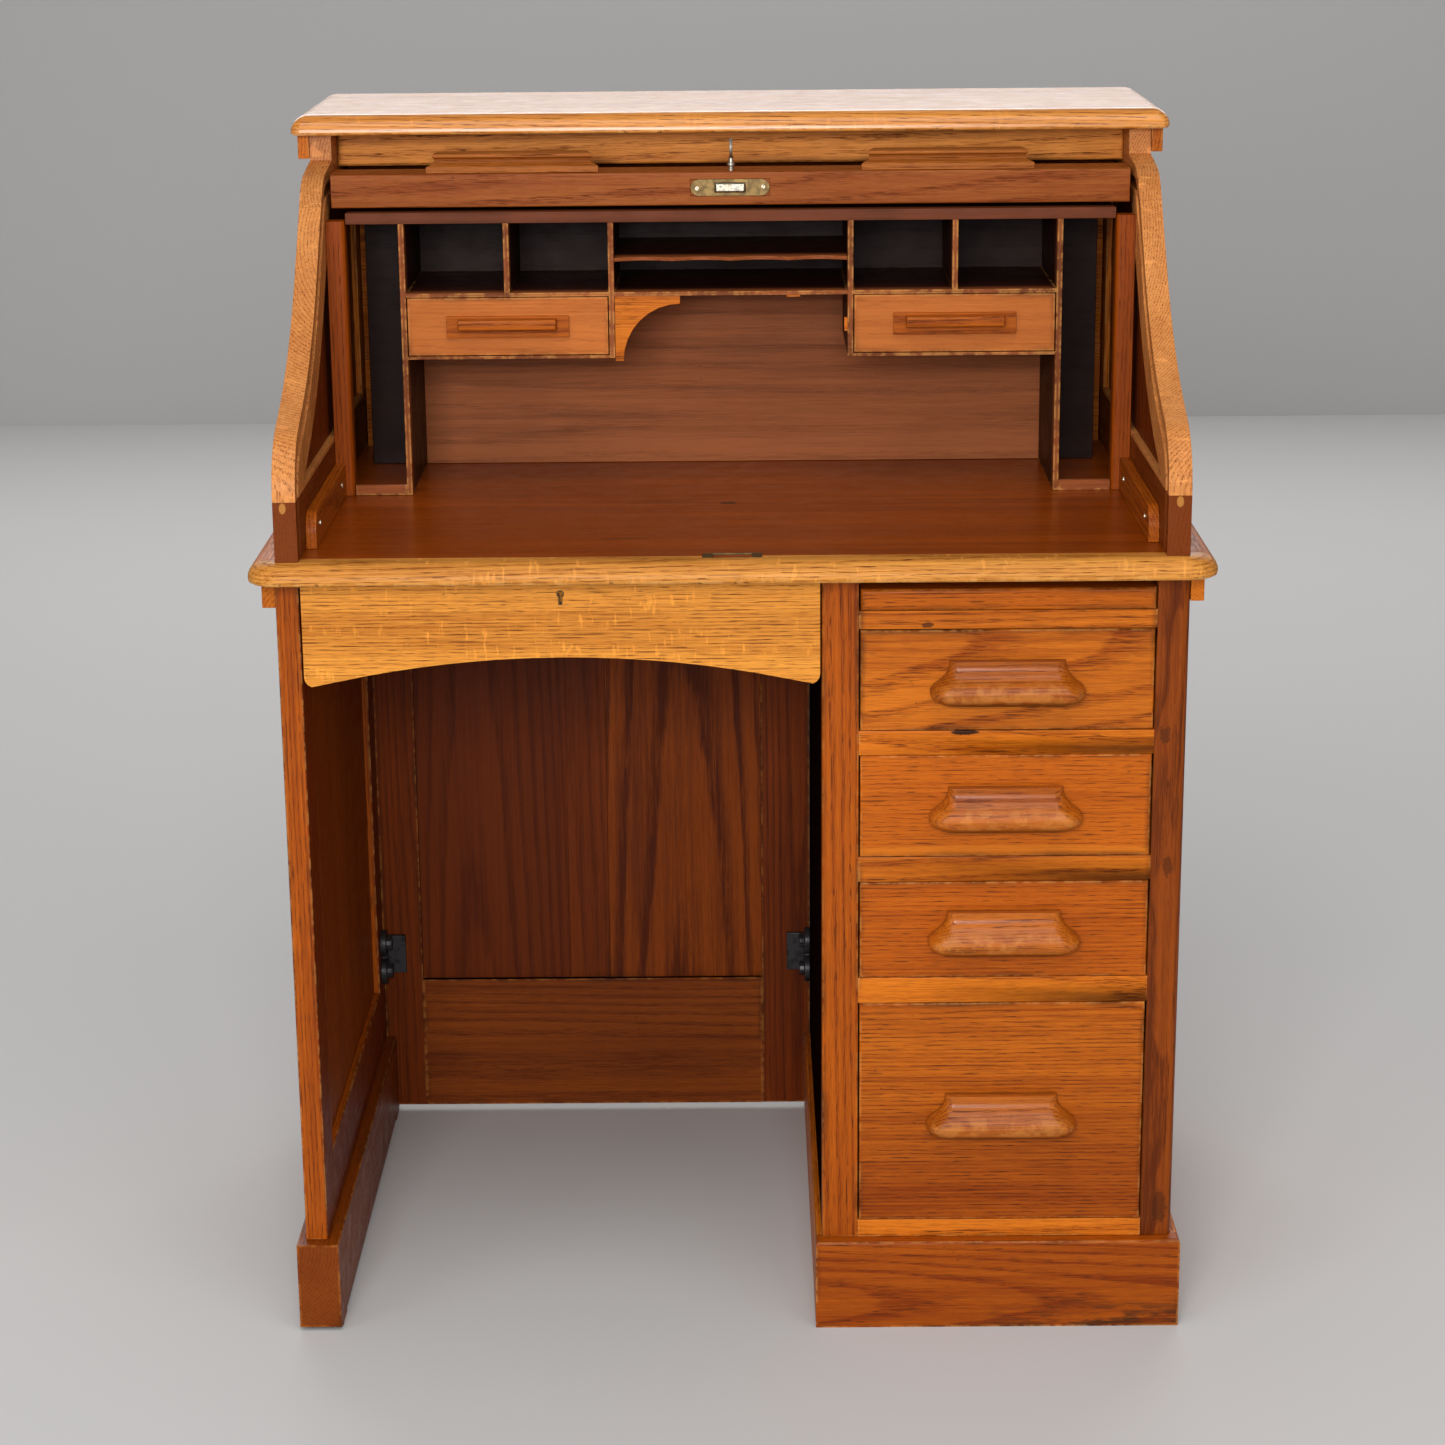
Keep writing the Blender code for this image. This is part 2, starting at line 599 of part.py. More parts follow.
def make_left_skid(oak):
    front, back = STILE_FACE - PLINTH_PROUD, BACK - GAP
    outline = []
    for start in (front + GLIDE_SET, back - GLIDE_SET - GLIDE_LENGTH):
        end = start + GLIDE_LENGTH
        outline += [(start, GLIDE_HEIGHT), (start, 0), (end, 0), (end, GLIDE_HEIGHT)]
    outline = [(front, GLIDE_HEIGHT)] + outline + [(back, GLIDE_HEIGHT), (back, PLINTH_HEIGHT),
                                                   (front, PLINTH_HEIGHT)]
    skid = prism(outline, "X", -END_FACE - PLINTH_SIDE_PROUD, KNEE_LEFT + SKID_INSIDE_PROUD)
    ease(skid, BASE_ROUND, lambda p: p.z > PLINTH_HEIGHT - 1e-5, 3)
    piece("left_skid", skid, oak, smooth=True)


def drawer_openings():
    """(low, high) of the slide's opening and of the four drawer openings, from the top down."""
    low = WRITING_HEIGHT - TOP_THICKNESS - SLIDE_HEAD - SLIDE_THICKNESS - 0.0015
    spans = [(low, UNDER_TOP)]
    for rail, height in zip(RAILS[:3], DRAWERS):
        high = low - rail
        low = high - height
        spans.append((low, high))
    spans.append((PLINTH_TOP + BOTTOM_RAIL, low - RAILS[3]))
    return spans


def make_front_frame(oak):
    levels = [PLINTH_TOP]
    for low, high in reversed(drawer_openings()):
        levels += [low, high]
    xs = (KNEE_RIGHT, OPEN_LEFT, OPEN_RIGHT, END_FACE)
    ys = (STILE_FACE, STILE_FACE + FRONT_FRAME_THICKNESS)
    frame = cells(xs, ys, levels, lambda i, j, k: i != 1 or k % 2 == 0)
    outer_corner = (lambda p: p.x > END_FACE - 1e-5 and p.y < STILE_FACE + 1e-5)
    ease(frame, POST_ROUND, outer_corner, 3)
    ease(frame, ARRIS, lambda p: p.x < KNEE_RIGHT + 1e-5 and p.y < STILE_FACE + 1e-5, 2)
    piece("pedestal_front_frame", frame, oak, smooth=True)


def side_outline(face, inner, reach):
    """(x, z) outline of a pedestal side with a runner under the slide and under each drawer."""
    points = [(face, PLINTH_TOP), (face, UNDER_TOP), (inner, UNDER_TOP)]
    for low, _ in drawer_openings():
        points += runner(inner, reach, low - RUN)
    points.append((inner, PLINTH_TOP))
    return points


def make_pedestal_sides(oak):
    front, back = STILE_FACE + FRONT_FRAME_THICKNESS + GAP, BACK - BACK_THICKNESS - 2 * GAP
    knee_outline = side_outline(KNEE_RIGHT, KNEE_RIGHT + SIDE_THICKNESS, OPEN_LEFT + RUNNER_WIDTH / 2)
    knee = piece("pedestal_knee_side", prism(knee_outline, "Y", front, back), oak)
    cut(knee, block(KNEE_RIGHT - KNEE_RUNNER, KNEE_RIGHT + BITE, front, STILE_FACE + KNEE_DRAWER_DEPTH,
                    KNEE_BOX_FLOOR - RUN - RUNNER_THICKNESS, KNEE_BOX_FLOOR - RUN), "UNION")
    outer_outline = side_outline(END_FACE, END_FACE - SIDE_THICKNESS, OPEN_RIGHT - RUNNER_WIDTH / 2)
    outer = piece("pedestal_outer_side", prism(outer_outline, "Y", front, back), oak)
    cut(outer, block(END_FACE - RECESS, END_FACE + THROUGH, STILE_FACE + END_STILE, BACK - END_STILE,
                     PLINTH_TOP + END_RAIL, UNDER_TOP - END_RAIL))


def make_pedestal_base(oak):
    front, back = STILE_FACE - PLINTH_PROUD, BACK - GAP
    left, right = KNEE_RIGHT - PLINTH_SIDE_PROUD * 0.8, END_FACE + PLINTH_SIDE_PROUD
    xs = (left, left + PLINTH_WALL, right - PLINTH_WALL, right)
    ys = (front, front + PLINTH_WALL, back - PLINTH_WALL, back)
    plinth = cells(xs, ys, (0, PLINTH_HEIGHT), lambda i, j, k: (i, j) != (1, 1))
    outside = (lambda p: p.z > PLINTH_HEIGHT - 1e-5 and
               (p.y < front + 1e-5 or p.x < left + 1e-5 or p.x > right - 1e-5))
    ease(plinth, BASE_ROUND, outside, 3)
    piece("pedestal_plinth", plinth, oak, smooth=True)
    inner_left, inner_right = KNEE_RIGHT + SIDE_THICKNESS + GAP, END_FACE - SIDE_THICKNESS - GAP
    floor = block(inner_left, inner_right, STILE_FACE + FRONT_FRAME_THICKNESS + GAP,
                  BACK - BACK_THICKNESS - 2 * GAP, PLINTH_TOP, PLINTH_TOP + FLOOR_BOARD)
    piece("pedestal_floor", floor, oak)
    back_board = cells((KNEE_RIGHT, KNEE_RIGHT + END_STILE, END_FACE - END_STILE, END_FACE),
                       (BACK - BACK_THICKNESS - GAP, BACK - BACK_THICKNESS / 2, BACK - GAP),
                       (PLINTH_TOP, PLINTH_TOP + END_RAIL, UNDER_TOP - END_RAIL, UNDER_TOP),
                       lambda i, j, k: j == 0 or (i, k) != (1, 1))
    piece("pedestal_back", back_board, oak)


def make_modesty(oak):
    left, right = KNEE_LEFT + GAP, KNEE_RIGHT - GAP
    front, back = BACK - MODESTY_THICKNESS - GAP, BACK - GAP
    xs = (left, left + MODESTY_STILE_LEFT, right - MODESTY_STILE_RIGHT, right)
    ys = (front, front + MODESTY_RECESS, back - MODESTY_RECESS / 2, back)
    zs = (PLINTH_TOP, MODESTY_FLOOR_GAP + MODESTY_RAIL, UNDER_TOP - END_RAIL, UNDER_TOP)
    upper = cells(xs, ys, zs, lambda i, j, k: (i, k) != (1, 1) or j == 1)
    modesty = piece("modesty_panel", upper, oak)
    low_left, low_right = KNEE_LEFT + SKID_INSIDE_PROUD + GAP, KNEE_RIGHT - PLINTH_SIDE_PROUD * 0.8 - GAP
    cut(modesty, block(low_left, low_right, front, back, MODESTY_FLOOR_GAP, PLINTH_TOP + BITE), "UNION")


def make_iron_fasteners(iron):
    """Black iron knock-down fasteners: an upright strap with two round lobes, in each rear corner."""
    middle, rise = FASTENER_HEIGHT, FASTENER_LOBE_RISE
    rear = BACK - MODESTY_THICKNESS - 2 * GAP
    lobe_y = rear - FASTENER_LOBE_SET
    for name, face, out in (("iron_fastener_left", KNEE_LEFT, 1), ("iron_fastener_right", KNEE_RIGHT, -1)):
        outline = [(rear, middle - FASTENER_HALF)]
        outline += arc((lobe_y, middle - rise), FASTENER_LOBE, -60, -270, 9)
        outline += arc((lobe_y, middle + rise), FASTENER_LOBE, 270, 60, 9)
        outline.append((rear, middle + FASTENER_HALF))
        inner, outer = face + out * GAP, face + out * (GAP + FASTENER_THICKNESS)
        fastener = piece(name, prism(outline, "X", *sorted((inner, outer))), iron, smooth=True)
        for level in (middle - rise, middle + rise):
            boss = arc((lobe_y, level), FASTENER_BOSS, 0, 324, 9)
            reach = sorted((inner + out * ARRIS, outer + out * FASTENER_BOSS_PROUD))
            cut(fastener, prism(boss, "X", *reach), "UNION")
        foot_width, foot_thick, foot_half = FASTENER_FOOT
        foot = block(*sorted((inner, inner + out * foot_width)), rear - foot_thick, rear, middle - foot_half,
                     middle + foot_half)
        cut(fastener, foot, "UNION")


# ================================================================ drawers
def drawer_body(x0, x1, face, z0, z1, box_left, box_right, box_floor, box_roof, box_back):
    """A drawer: its front, and behind it an open box of sides, back and bottom."""
    side, bottom = DRAWER_SIDE, DRAWER_BOTTOM
    xs = (x0, box_left, box_left + side, box_right - side, box_right, x1)
    ys = (face, face + DRAWER_FRONT, box_back - side, box_back)
    zs = (z0, box_floor, box_floor + bottom, box_roof, z1)

    def wood(i, j, k):
        if j == 0:
            return True
        if not (1 <= i <= 3 and 1 <= k <= 2):
            return False
        return k == 1 or i != 2 or j == 2

    return cells(xs, ys, zs, wood)


def flared_pull(centre_x, face, top, material, name):
    """A long wooden pull: a narrow flat top that flares down into a full rounded nose."""
    levels = 9
    rings = []
    for n in range(levels + 1):
        down = n / levels
        flare = 0.0 if down < 0.08 else min(1.0, (down - 0.08) / 0.52) ** 2.0
        round_under = max(0.0, (down - 0.72) / 0.28)
        tuck = 1 - math.sqrt(max(0.0, 1 - (0.94 * round_under) ** 2))
        half = (PULL_TOP_WIDTH + (PULL_WIDTH - PULL_TOP_WIDTH) * flare) / 2 - PULL_TUCK * tuck
        depth = PULL_TOP_DEPTH + (PULL_DEPTH - PULL_TOP_DEPTH) * flare - PULL_TUCK * tuck
        height = top - PULL_HEIGHT * down
        corner = min(0.85 * depth, PULL_CORNER)
        plan = [(-half, 0)] + arc((-half + corner, -depth + corner), corner, 180, 270, 4)
        plan += arc((half - corner, -depth + corner), corner, 270, 360, 4) + [(half, 0)]
        rings.append([(centre_x + x, face - GAP + y, height) for x, y in plan])
    piece(name, stack(rings), material, smooth=True)


def make_pedestal_drawers(oak):
    for number, (low, high) in enumerate(drawer_openings()[1:], 1):
        face = STILE_FACE + DRAWER_SET_BACK
        tail = BACK - BACK_THICKNESS - DRAWER_TAIL
        body = drawer_body(OPEN_LEFT + DRAWER_SHOW, OPEN_RIGHT - DRAWER_SHOW, face, low + DRAWER_SHOW * 0.6,
                           high - DRAWER_SHOW, OPEN_LEFT + BOX_GAP, OPEN_RIGHT - BOX_GAP, low + RUN * 2,
                           high - 0.008, tail)
        ease(body, 0.0012, lambda p: p.y < face + 1e-5)
        piece(f"drawer_{number}", body, oak)
        top = (low + high + PULL_HEIGHT) / 2 - PULL_DROP
        flared_pull((OPEN_LEFT + OPEN_RIGHT) / 2, face, top, oak, f"pull_{number}")


def make_slide(oak):
    low = drawer_openings()[0][0]
    x0, x1 = OPEN_LEFT + DRAWER_SHOW, OPEN_RIGHT - DRAWER_SHOW
    slide = block(x0, x1, STILE_FACE - SLIDE_PROUD, BACK - BACK_THICKNESS - SLIDE_TAIL, low + RUN * 0.2,
                  low + RUN * 0.2 + SLIDE_THICKNESS)
    ease(slide, SLIDE_CORNER, lambda p: p.y < STILE_FACE, 3)
    piece("pull_out_slide", slide, oak, smooth=True)


def make_knee_drawer(oak, brass):
    x0, x1 = KNEE_LEFT + DRAWER_SHOW, KNEE_RIGHT - DRAWER_SHOW
    top, foot = KNEE_TOP, KNEE_TOP - KNEE_DRAWER_HEIGHT
    span = (x1 - x0) / 2 - KNEE_FOOT
    centre_x = (x0 + x1) / 2
    radius = (span ** 2 + KNEE_ARCH ** 2) / (2 * KNEE_ARCH)
    half_angle = math.degrees(math.asin(span / radius))
    crown = arc((centre_x, foot + KNEE_ARCH - radius), radius, 90 - half_angle, 90 + half_angle, 18)
    corner = KNEE_CORNER
    outline = [(x0, top)] + arc((x0 + corner, foot + corner), corner, 180, 250, 3)
    outline += [p for p in crown[::-1] if x0 + KNEE_SHOULDER < p[0] < x1 - KNEE_SHOULDER]
    outline += arc((x1 - corner, foot + corner), corner, 290, 360, 3) + [(x1, top)]
    face = STILE_FACE + DRAWER_SET_BACK
    front = prism(outline, "Y", face, face + DRAWER_FRONT)
    ease(front, DRAWER_SHOW, lambda p: p.y < face + 1e-5, 2)
    drawer = piece("knee_drawer", front, oak, smooth=True)
    xs = (KNEE_LEFT + KNEE_BOX_SIDE, KNEE_LEFT + KNEE_BOX_SIDE + DRAWER_SIDE,
          KNEE_RIGHT - KNEE_BOX_SIDE - DRAWER_SIDE, KNEE_RIGHT - KNEE_BOX_SIDE)
    ys = (face + DRAWER_FRONT - BITE, face + DRAWER_FRONT + BITE / 2,
          STILE_FACE + KNEE_DRAWER_DEPTH - DRAWER_SIDE, STILE_FACE + KNEE_DRAWER_DEPTH)
    zs = (KNEE_BOX_FLOOR, KNEE_BOX_FLOOR + DRAWER_BOTTOM, KNEE_BOX_FLOOR + KNEE_BOX_HEIGHT)
    box = cells(xs, ys, zs, lambda i, j, k: k == 0 or i != 1 or j != 1)
    cut(drawer, box, "UNION")
    hole = keyhole_outline(centre_x, KEYHOLE_LEVEL, 0.0)
    cut(drawer, prism(hole, "Y", face - THROUGH, face + KEYHOLE_DEPTH))
    ring = prism(keyhole_outline(centre_x, KEYHOLE_LEVEL, -GAP), "Y", face - GAP, face + BUSH_DEPTH)
    bush = piece("keyhole_bush", ring, brass)
    inside = keyhole_outline(centre_x, KEYHOLE_LEVEL, -BUSH_WALL)
    cut(bush, prism(inside, "Y", face - THROUGH, face + BUSH_DEPTH + THROUGH))


def keyhole_outline(x, level, grow):
    """A round eye over a narrow slot, as (x, z) points."""
    radius, slot = KEYHOLE_EYE + grow, KEYHOLE_SLOT + grow
    low = level - KEYHOLE_HEIGHT + KEYHOLE_EYE - grow
    lean = math.degrees(math.asin(slot / radius))
    eye = arc((x, level), radius, -90 + lean, 270 - lean, 12)
    return eye + [(x - slot, low), (x + slot, low)]


def make_small_drawers(pale_oak, pull_oak):
    low, high = SHELF_LEVEL - SMALL_DRAWER_HEIGHT, SHELF_LEVEL
    for name, side in (("left", -1), ("right", 1)):
        x0, x1 = sorted((side * (BAY_INNER + RACK_BOARD), side * BAY_OUTER))
        face = RACK_FRONT + SMALL_FACE_SET
        box_left, box_right = x0 + RUN * 1.5, x1 - RUN * 1.5
        body = drawer_body(x0 + RUN, x1 - RUN, face, low + RUN * 0.5, high - RUN, box_left, box_right,
                           low + RUN, high - 6 * RUN, RACK_REAR - RACK_TAIL_GAP)
        ease(body, RUN * 0.8, lambda p: p.y < face + 1e-5)
        piece(f"small_drawer_{name}", body, pale_oak)
        middle_x, middle_z = (x0 + x1) / 2, (low + high) / 2
        plate, grip = SMALL_PULL
        ahead, thick = SMALL_PULL_PROUD
        pull = cells((middle_x - plate, middle_x - grip, middle_x + grip, middle_x + plate),
                     (face - ahead, face - thick, face - GAP), [middle_z + z for z in SMALL_PULL_LEVELS],
                     lambda i, j, k: j == 1 or (i == 1 and k == 1))
        ease(pull, ARRIS, lambda p: p.y < face - ahead / 2, 2)
        piece(f"small_pull_{name}", pull, pull_oak, smooth=True)


# ================================================================ upper case
def s_opening(shrink):
    """(y, z) outline of the panel's opening in an S-shaped end."""
    inset = S_STILE + shrink
    low = WRITING_HEIGHT + S_RAIL + shrink
    high = LID_UNDER - S_RAIL - shrink
    rear = BACK - S_STILE - shrink
    runs, _, _ = walk((S_FOOT + inset, WRITING_HEIGHT), 90, path_legs(inset)[:-1])
    points = [p for p in along(runs, 6) if low + 0.002 < p.y < high - 0.002]
    steep = math.tan(math.radians(90 - S_BULGE_TURN + S_SWEEP_TURN))
    top_y = points[-1].x + (high - points[-1].y) / steep
    first = points[0].x
    return [(first, low)] + [(p.x, p.y) for p in points] + [(top_y, high), (rear, high), (rear, low)]


def make_s_ends(oak):
    edge = [(p.x, p.y) for p in s_edge(0)]
    last = edge[-1]
    crest = (last[0] + S_SHOULDER_FLAT * math.cos(REAR_SLOPE),
             last[1] + S_SHOULDER_FLAT * math.sin(REAR_SLOPE))
    outline = edge + [crest, (crest[0] + 0.002, LID_UNDER), (BACK - GAP, LID_UNDER), (BACK - GAP, ON_TOP)]
    outline[0] = (edge[0][0], ON_TOP)
    groove = [(p.x, p.y) for p in along(curtain_path()[0], 8)]
    outer_line = offset_line(groove, CANVAS_INSET - GROOVE_INSET)
    inner_line = offset_line(groove, CANVAS_INSET - GROOVE_INSET - GROOVE_WIDTH)
    groove = outer_line + inner_line[::-1]
    for name, side in (("left", -1), ("right", 1)):
        inner, outer = side * S_IN, side * S_OUT
        body = prism(outline, "X", min(inner, outer), max(inner, outer))
        ease(body, S_ARRIS, lambda p: p.y < crest[0] + 0.001 and p.z > ON_TOP + 0.001, 2)
        end = piece(f"s_end_{name}", body, oak, smooth=True)
        cut(end, prism(s_opening(0), "X", min(inner, outer) - THROUGH, max(inner, outer) + THROUGH))
        cut(end, prism(groove, "X", *sorted((side * (S_IN - THROUGH), side * (S_IN + GROOVE_DEPTH)))))
        middle = side * (S_IN + S_OUT) / 2
        panel = prism(s_opening(GAP), "X", middle - S_PANEL / 2, middle + S_PANEL / 2)
        piece(f"s_panel_{name}", panel, oak)


def offset_line(points, distance):
    """The line moved to its left by a distance, kept above the writing surface."""
    moved = []
    for n, (y, z) in enumerate(points):
        before, after = points[max(n - 1, 0)], points[min(n + 1, len(points) - 1)]
        along_line = Vector((after[0] - before[0], after[1] - before[1])).normalized()
        moved.append((y - along_line.y * distance, z + along_line.x * distance))
    return [(y, z) for y, z in moved if z >= ON_TOP - 0.004]


def make_lid(oak):
    half = HALF - LID_INSET
    lid = moulded_board("top_board", half, FRONT + LID_FRONT, BACK - GAP, TOTAL_HEIGHT - LID_THICKNESS,
                        LID_THICKNESS, LID_BEVEL, LID_NOSE, LID_CORNER, oak)
    under = TOTAL_HEIGHT - LID_THICKNESS
    for side in (-1, 1):
        inner, outer = side * (S_OUT + GAP), side * (S_OUT + GAP + LID_CLEAT_WIDTH)
        cut(lid, block(min(inner, outer), max(inner, outer), FRONT + LID_FRONT + LID_CLEAT_SET,
                       BACK - CLEAT_SET, under - LID_CLEAT_HEIGHT, under + BITE), "UNION")
    rail = block(-S_IN + GAP, S_IN - GAP, FIXED_FACE, FIXED_FACE + FIXED_RAIL_THICKNESS,
                 LID_UNDER - FIXED_RAIL_HEIGHT, LID_UNDER - GAP)
    ease(rail, ARRIS, lambda p: p.y < FIXED_FACE + 1e-5)
    piece("fixed_rail", rail, oak)


def make_case_back(oak):
    stile = CASE_BACK_STILE
    outer, middle = S_IN - GAP, stile / 2
    xs = (-outer, -outer + stile, -middle, middle, outer - stile, outer)
    ys = (BACK - CASE_BACK_THICKNESS - GAP, BACK - CASE_BACK_THICKNESS / 2, BACK - GAP)
    zs = (ON_TOP, ON_TOP + stile, LID_UNDER - stile, LID_UNDER - GAP)
    panels = cells(xs, ys, zs, lambda i, j, k: j == 0 or not (i in (1, 3) and k == 1))
    piece("case_back", panels, oak)


def make_rack(rack_oak, mahogany, pale_oak):
    b, shelf = RACK_BOARD, SMALL_SHELF
    roof, floor_top = RACK_ROOF - RACK_TOP, SHELF_LEVEL - SMALL_DRAWER_HEIGHT
    walls = (BAY_INNER, HALF_BAY - b / 2, BAY_OUTER)
    xs = [side * (wall + t) for side in (-1, 1) for wall in walls for t in (0, b)]
    xs = sorted(xs + [-RACK_HALF + GAP, RACK_HALF - GAP])
    zs = (ON_TOP, ON_TOP + THRESHOLD, floor_top - SMALL_FLOOR, floor_top, SHELF_LEVEL, SHELF_LEVEL + shelf,
          roof, RACK_ROOF)
    ys = (RACK_FRONT, RACK_FRONT + THRESHOLD_DEPTH, RACK_REAR)

    def wood(i, j, k):
        centre = (xs[i] + xs[i + 1]) / 2
        x = abs(centre)
        if k == 6:
            return True
        if x > BAY_OUTER + b:
            return (j, k) == (0, 0)
        if k == 4 or (k == 2 and x > BAY_INNER):
            return True
        for wall, lowest in zip(walls, (2, 5, 0)):
            if wall < x < wall + b:
                return k >= lowest
        return False

    piece("pigeonhole_rack", cells(xs, ys, zs, wood), rack_oak)
    back = block(-RACK_HALF + GAP, RACK_HALF - GAP, RACK_REAR + GAP, RACK_REAR + GAP + RACK_BACK, ON_TOP,
                 RACK_ROOF)
    piece("pigeonhole_back", back, mahogany)
    level, inside = SHELF_LEVEL + SCALLOP_RISE, BAY_INNER - GAP
    steps = 6 * SCALLOPS
    waves = [(inside * (1 - 2 * n / steps),
              RACK_FRONT + SCALLOP_SET + SCALLOP_WAVE * abs(math.sin(math.pi * SCALLOPS * n / steps)))
             for n in range(steps + 1)]
    outline = [(-inside, RACK_REAR - GAP), (inside, RACK_REAR - GAP)] + waves
    piece("scalloped_shelf", prism(outline, "Z", level, level + SCALLOP_THICKNESS), rack_oak)
    corner_x, corner_z, arm = -BAY_INNER + GAP, SHELF_LEVEL - GAP, BRACKET_SIZE + BRACKET_REST
    curve = arc((corner_x + arm, corner_z - arm), BRACKET_SIZE - BRACKET_REST, 90, 180, 8)
    outline = [(corner_x, corner_z), (corner_x + arm, corner_z)] + curve + [(corner_x, corner_z - arm)]
    bracket_front = RACK_FRONT + SMALL_FACE_SET
    piece("corner_bracket", prism(outline, "Y", bracket_front, bracket_front + BRACKET_THICKNESS), pale_oak)


def make_posts(oak):
    front = RACK_FRONT - POST_PROUD
    start, high = FRONT + BATTEN_SET, ON_TOP + BATTEN_HEIGHT
    for name, side in (("left", -1), ("right", 1)):
        x0, x1 = sorted((side * (RACK_HALF + GAP), side * (S_IN - GAP)))
        post = block(x0, x1, front, front + POST_DEPTH, ON_TOP, RACK_ROOF - POST_DROP)
        ease(post, POST_NOSE, lambda p: p.y < front + 1e-5 and abs(p.x) < RACK_HALF + GAP + 1e-5, 3)
        piece(f"side_post_{name}", post, oak, smooth=True)
        line = [(start, ON_TOP)] + arc((start + BATTEN_ROUND, high - BATTEN_ROUND), BATTEN_ROUND, 180, 90, 5)
        line += [(front - GAP, high), (front - GAP, ON_TOP)]
        batten = prism(line, "X", *sorted((side * (S_IN - GAP), side * (S_IN - GAP - BATTEN_THICKNESS))))
        ease(batten, ARRIS, lambda p: p.z > ON_TOP + 0.001 and p.y < front - 0.001)
        piece(f"desk_batten_{name}", batten, oak, smooth=True)


# ================================================================ curtain and lock
def make_curtain(slat_oak):
    opened, shut, runs, _, _ = curtain_stations()
    half = S_IN - CURTAIN_SIDE_GAP
    for number in range(1, SECTIONS + 1):
        start, end = opened[number], opened[number + 1]
        centre, _ = pole(start, end, shut[number], shut[number + 1])
        chord = (end - start).normalized()
        outward = Vector((-chord.y, chord.x))
        length = (end - start).length
        bow = middle_bow(runs, shut[number], shut[number + 1])
        points = [start + chord * t + outward * n for t, n in section_outline(length, bow)]
        body = prism([(p.x, p.y) for p in points], "X", -half, half)
        piece(f"curtain_section_{number:02d}", body, slat_oak, origin=(0, centre.x, centre.y), smooth=True)


def middle_bow(runs, start, end):
    """How far the path stands off the straight line between two of its points, at their middle."""
    chord = (end - start).normalized()
    outward = Vector((-chord.y, chord.x))
    total, steps, bow = sum(run[2] for run in runs), 600, 0.0
    for n in range(steps):
        offset = point_on(runs, total * n / steps) - start
        from_middle = abs(offset.dot(chord) - (end - start).length / 2)
        if from_middle < total / steps and abs(offset.dot(outward)) < 0.02:
            bow = offset.dot(outward)
    return bow


def section_outline(length, bow):
    """(along, outward) points: a canvas face and two slats with softened tops and a V between them."""
    t, shy, m = SLAT_THICKNESS, SECTION_SHY, length / 2
    lift = bow * 0.35
    near = [(shy, 0), (shy + 0.0002, t * 0.45), (shy + 0.0020, t * 0.88 + lift * 0.2),
            (shy + 0.0050, t + lift * 0.4), (m - 0.0055, t + bow), (m - 0.0025, t * 0.86 + bow)]
    far = [(length - along_section, out) for along_section, out in near[::-1]]
    return near + [(m, t * 0.35 + bow)] + far + [(m, bow)]


def make_lock_rail(rail_oak, brass, steel):
    opened, shut, _, _, _ = curtain_stations()
    centre, _ = pole(opened[0], opened[1], shut[0], shut[1])
    origin = (0, centre.x, centre.y)
    half = S_IN - RAIL_SIDE_GAP
    face = opened[1].y + CANVAS_INSET - RAIL_SINK      # its outer face looks up when rolled up
    front, rear = opened[1].x - RAIL_LENGTH, opened[1].x - SECTION_SHY
    body = block(-half, half, front, rear, face - RAIL_THICKNESS, face)
    ease(body, ARRIS, lambda p: p.y < front + 1e-5, 2)
    rail = piece("lock_rail", body, rail_oak, origin, smooth=True)
    middle = face - RAIL_THICKNESS * LOCK_LEVEL
    wide, high, thick = LOCK_PLATE
    bolt_wide, bolt_high = BOLT_SIZE
    slot_x, slot_z = bolt_wide / 2 + GAP * 2, bolt_high / 2 + GAP * 2
    key_y = front + KEY_SET
    cut(rail, block(-wide / 2 - GAP, wide / 2 + GAP, front - THROUGH, front + thick + GAP,
                    middle - high / 2 - GAP, middle + high / 2 + GAP))
    cut(rail, block(-slot_x, slot_x, front - THROUGH, front + BOLT_POCKET, middle - slot_z, middle + slot_z))
    cut(rail, prism(arc((KEY_X, key_y), KEY_RADIUS + KEY_CLEARANCE, 0, 330, 11), "Z",
                    middle + bolt_high / 2 + 5 * GAP, face + THROUGH))
    stadium = arc((wide / 2 - high / 2, middle), high / 2, -90, 90, 6)
    stadium += arc((-wide / 2 + high / 2, middle), high / 2, 90, 270, 6)
    plate = piece("lock_plate", prism(stadium, "Y", front - PLATE_PROUD, front + thick - PLATE_PROUD), brass,
                  origin)
    cut(plate, block(-slot_x, slot_x, front - THROUGH, front + THROUGH, middle - slot_z, middle + slot_z))
    bolt = block(-bolt_wide / 2, bolt_wide / 2, front - BOLT_REST, front + BOLT_DEPTH, middle - bolt_high / 2,
                 middle + bolt_high / 2)
    ease(bolt, BOLT_EDGE, lambda p: p.y < front)
    piece("lock_bolt", bolt, steel, (0, front, middle))
    for name, side in (("left", -1), ("right", 1)):
        make_finger_lift(f"finger_lift_{name}", side * LIFT_SPREAD, front, face + GAP, rail_oak, origin)
    make_key(key_y, face, middle + bolt_high / 2 + 10 * GAP, steel)


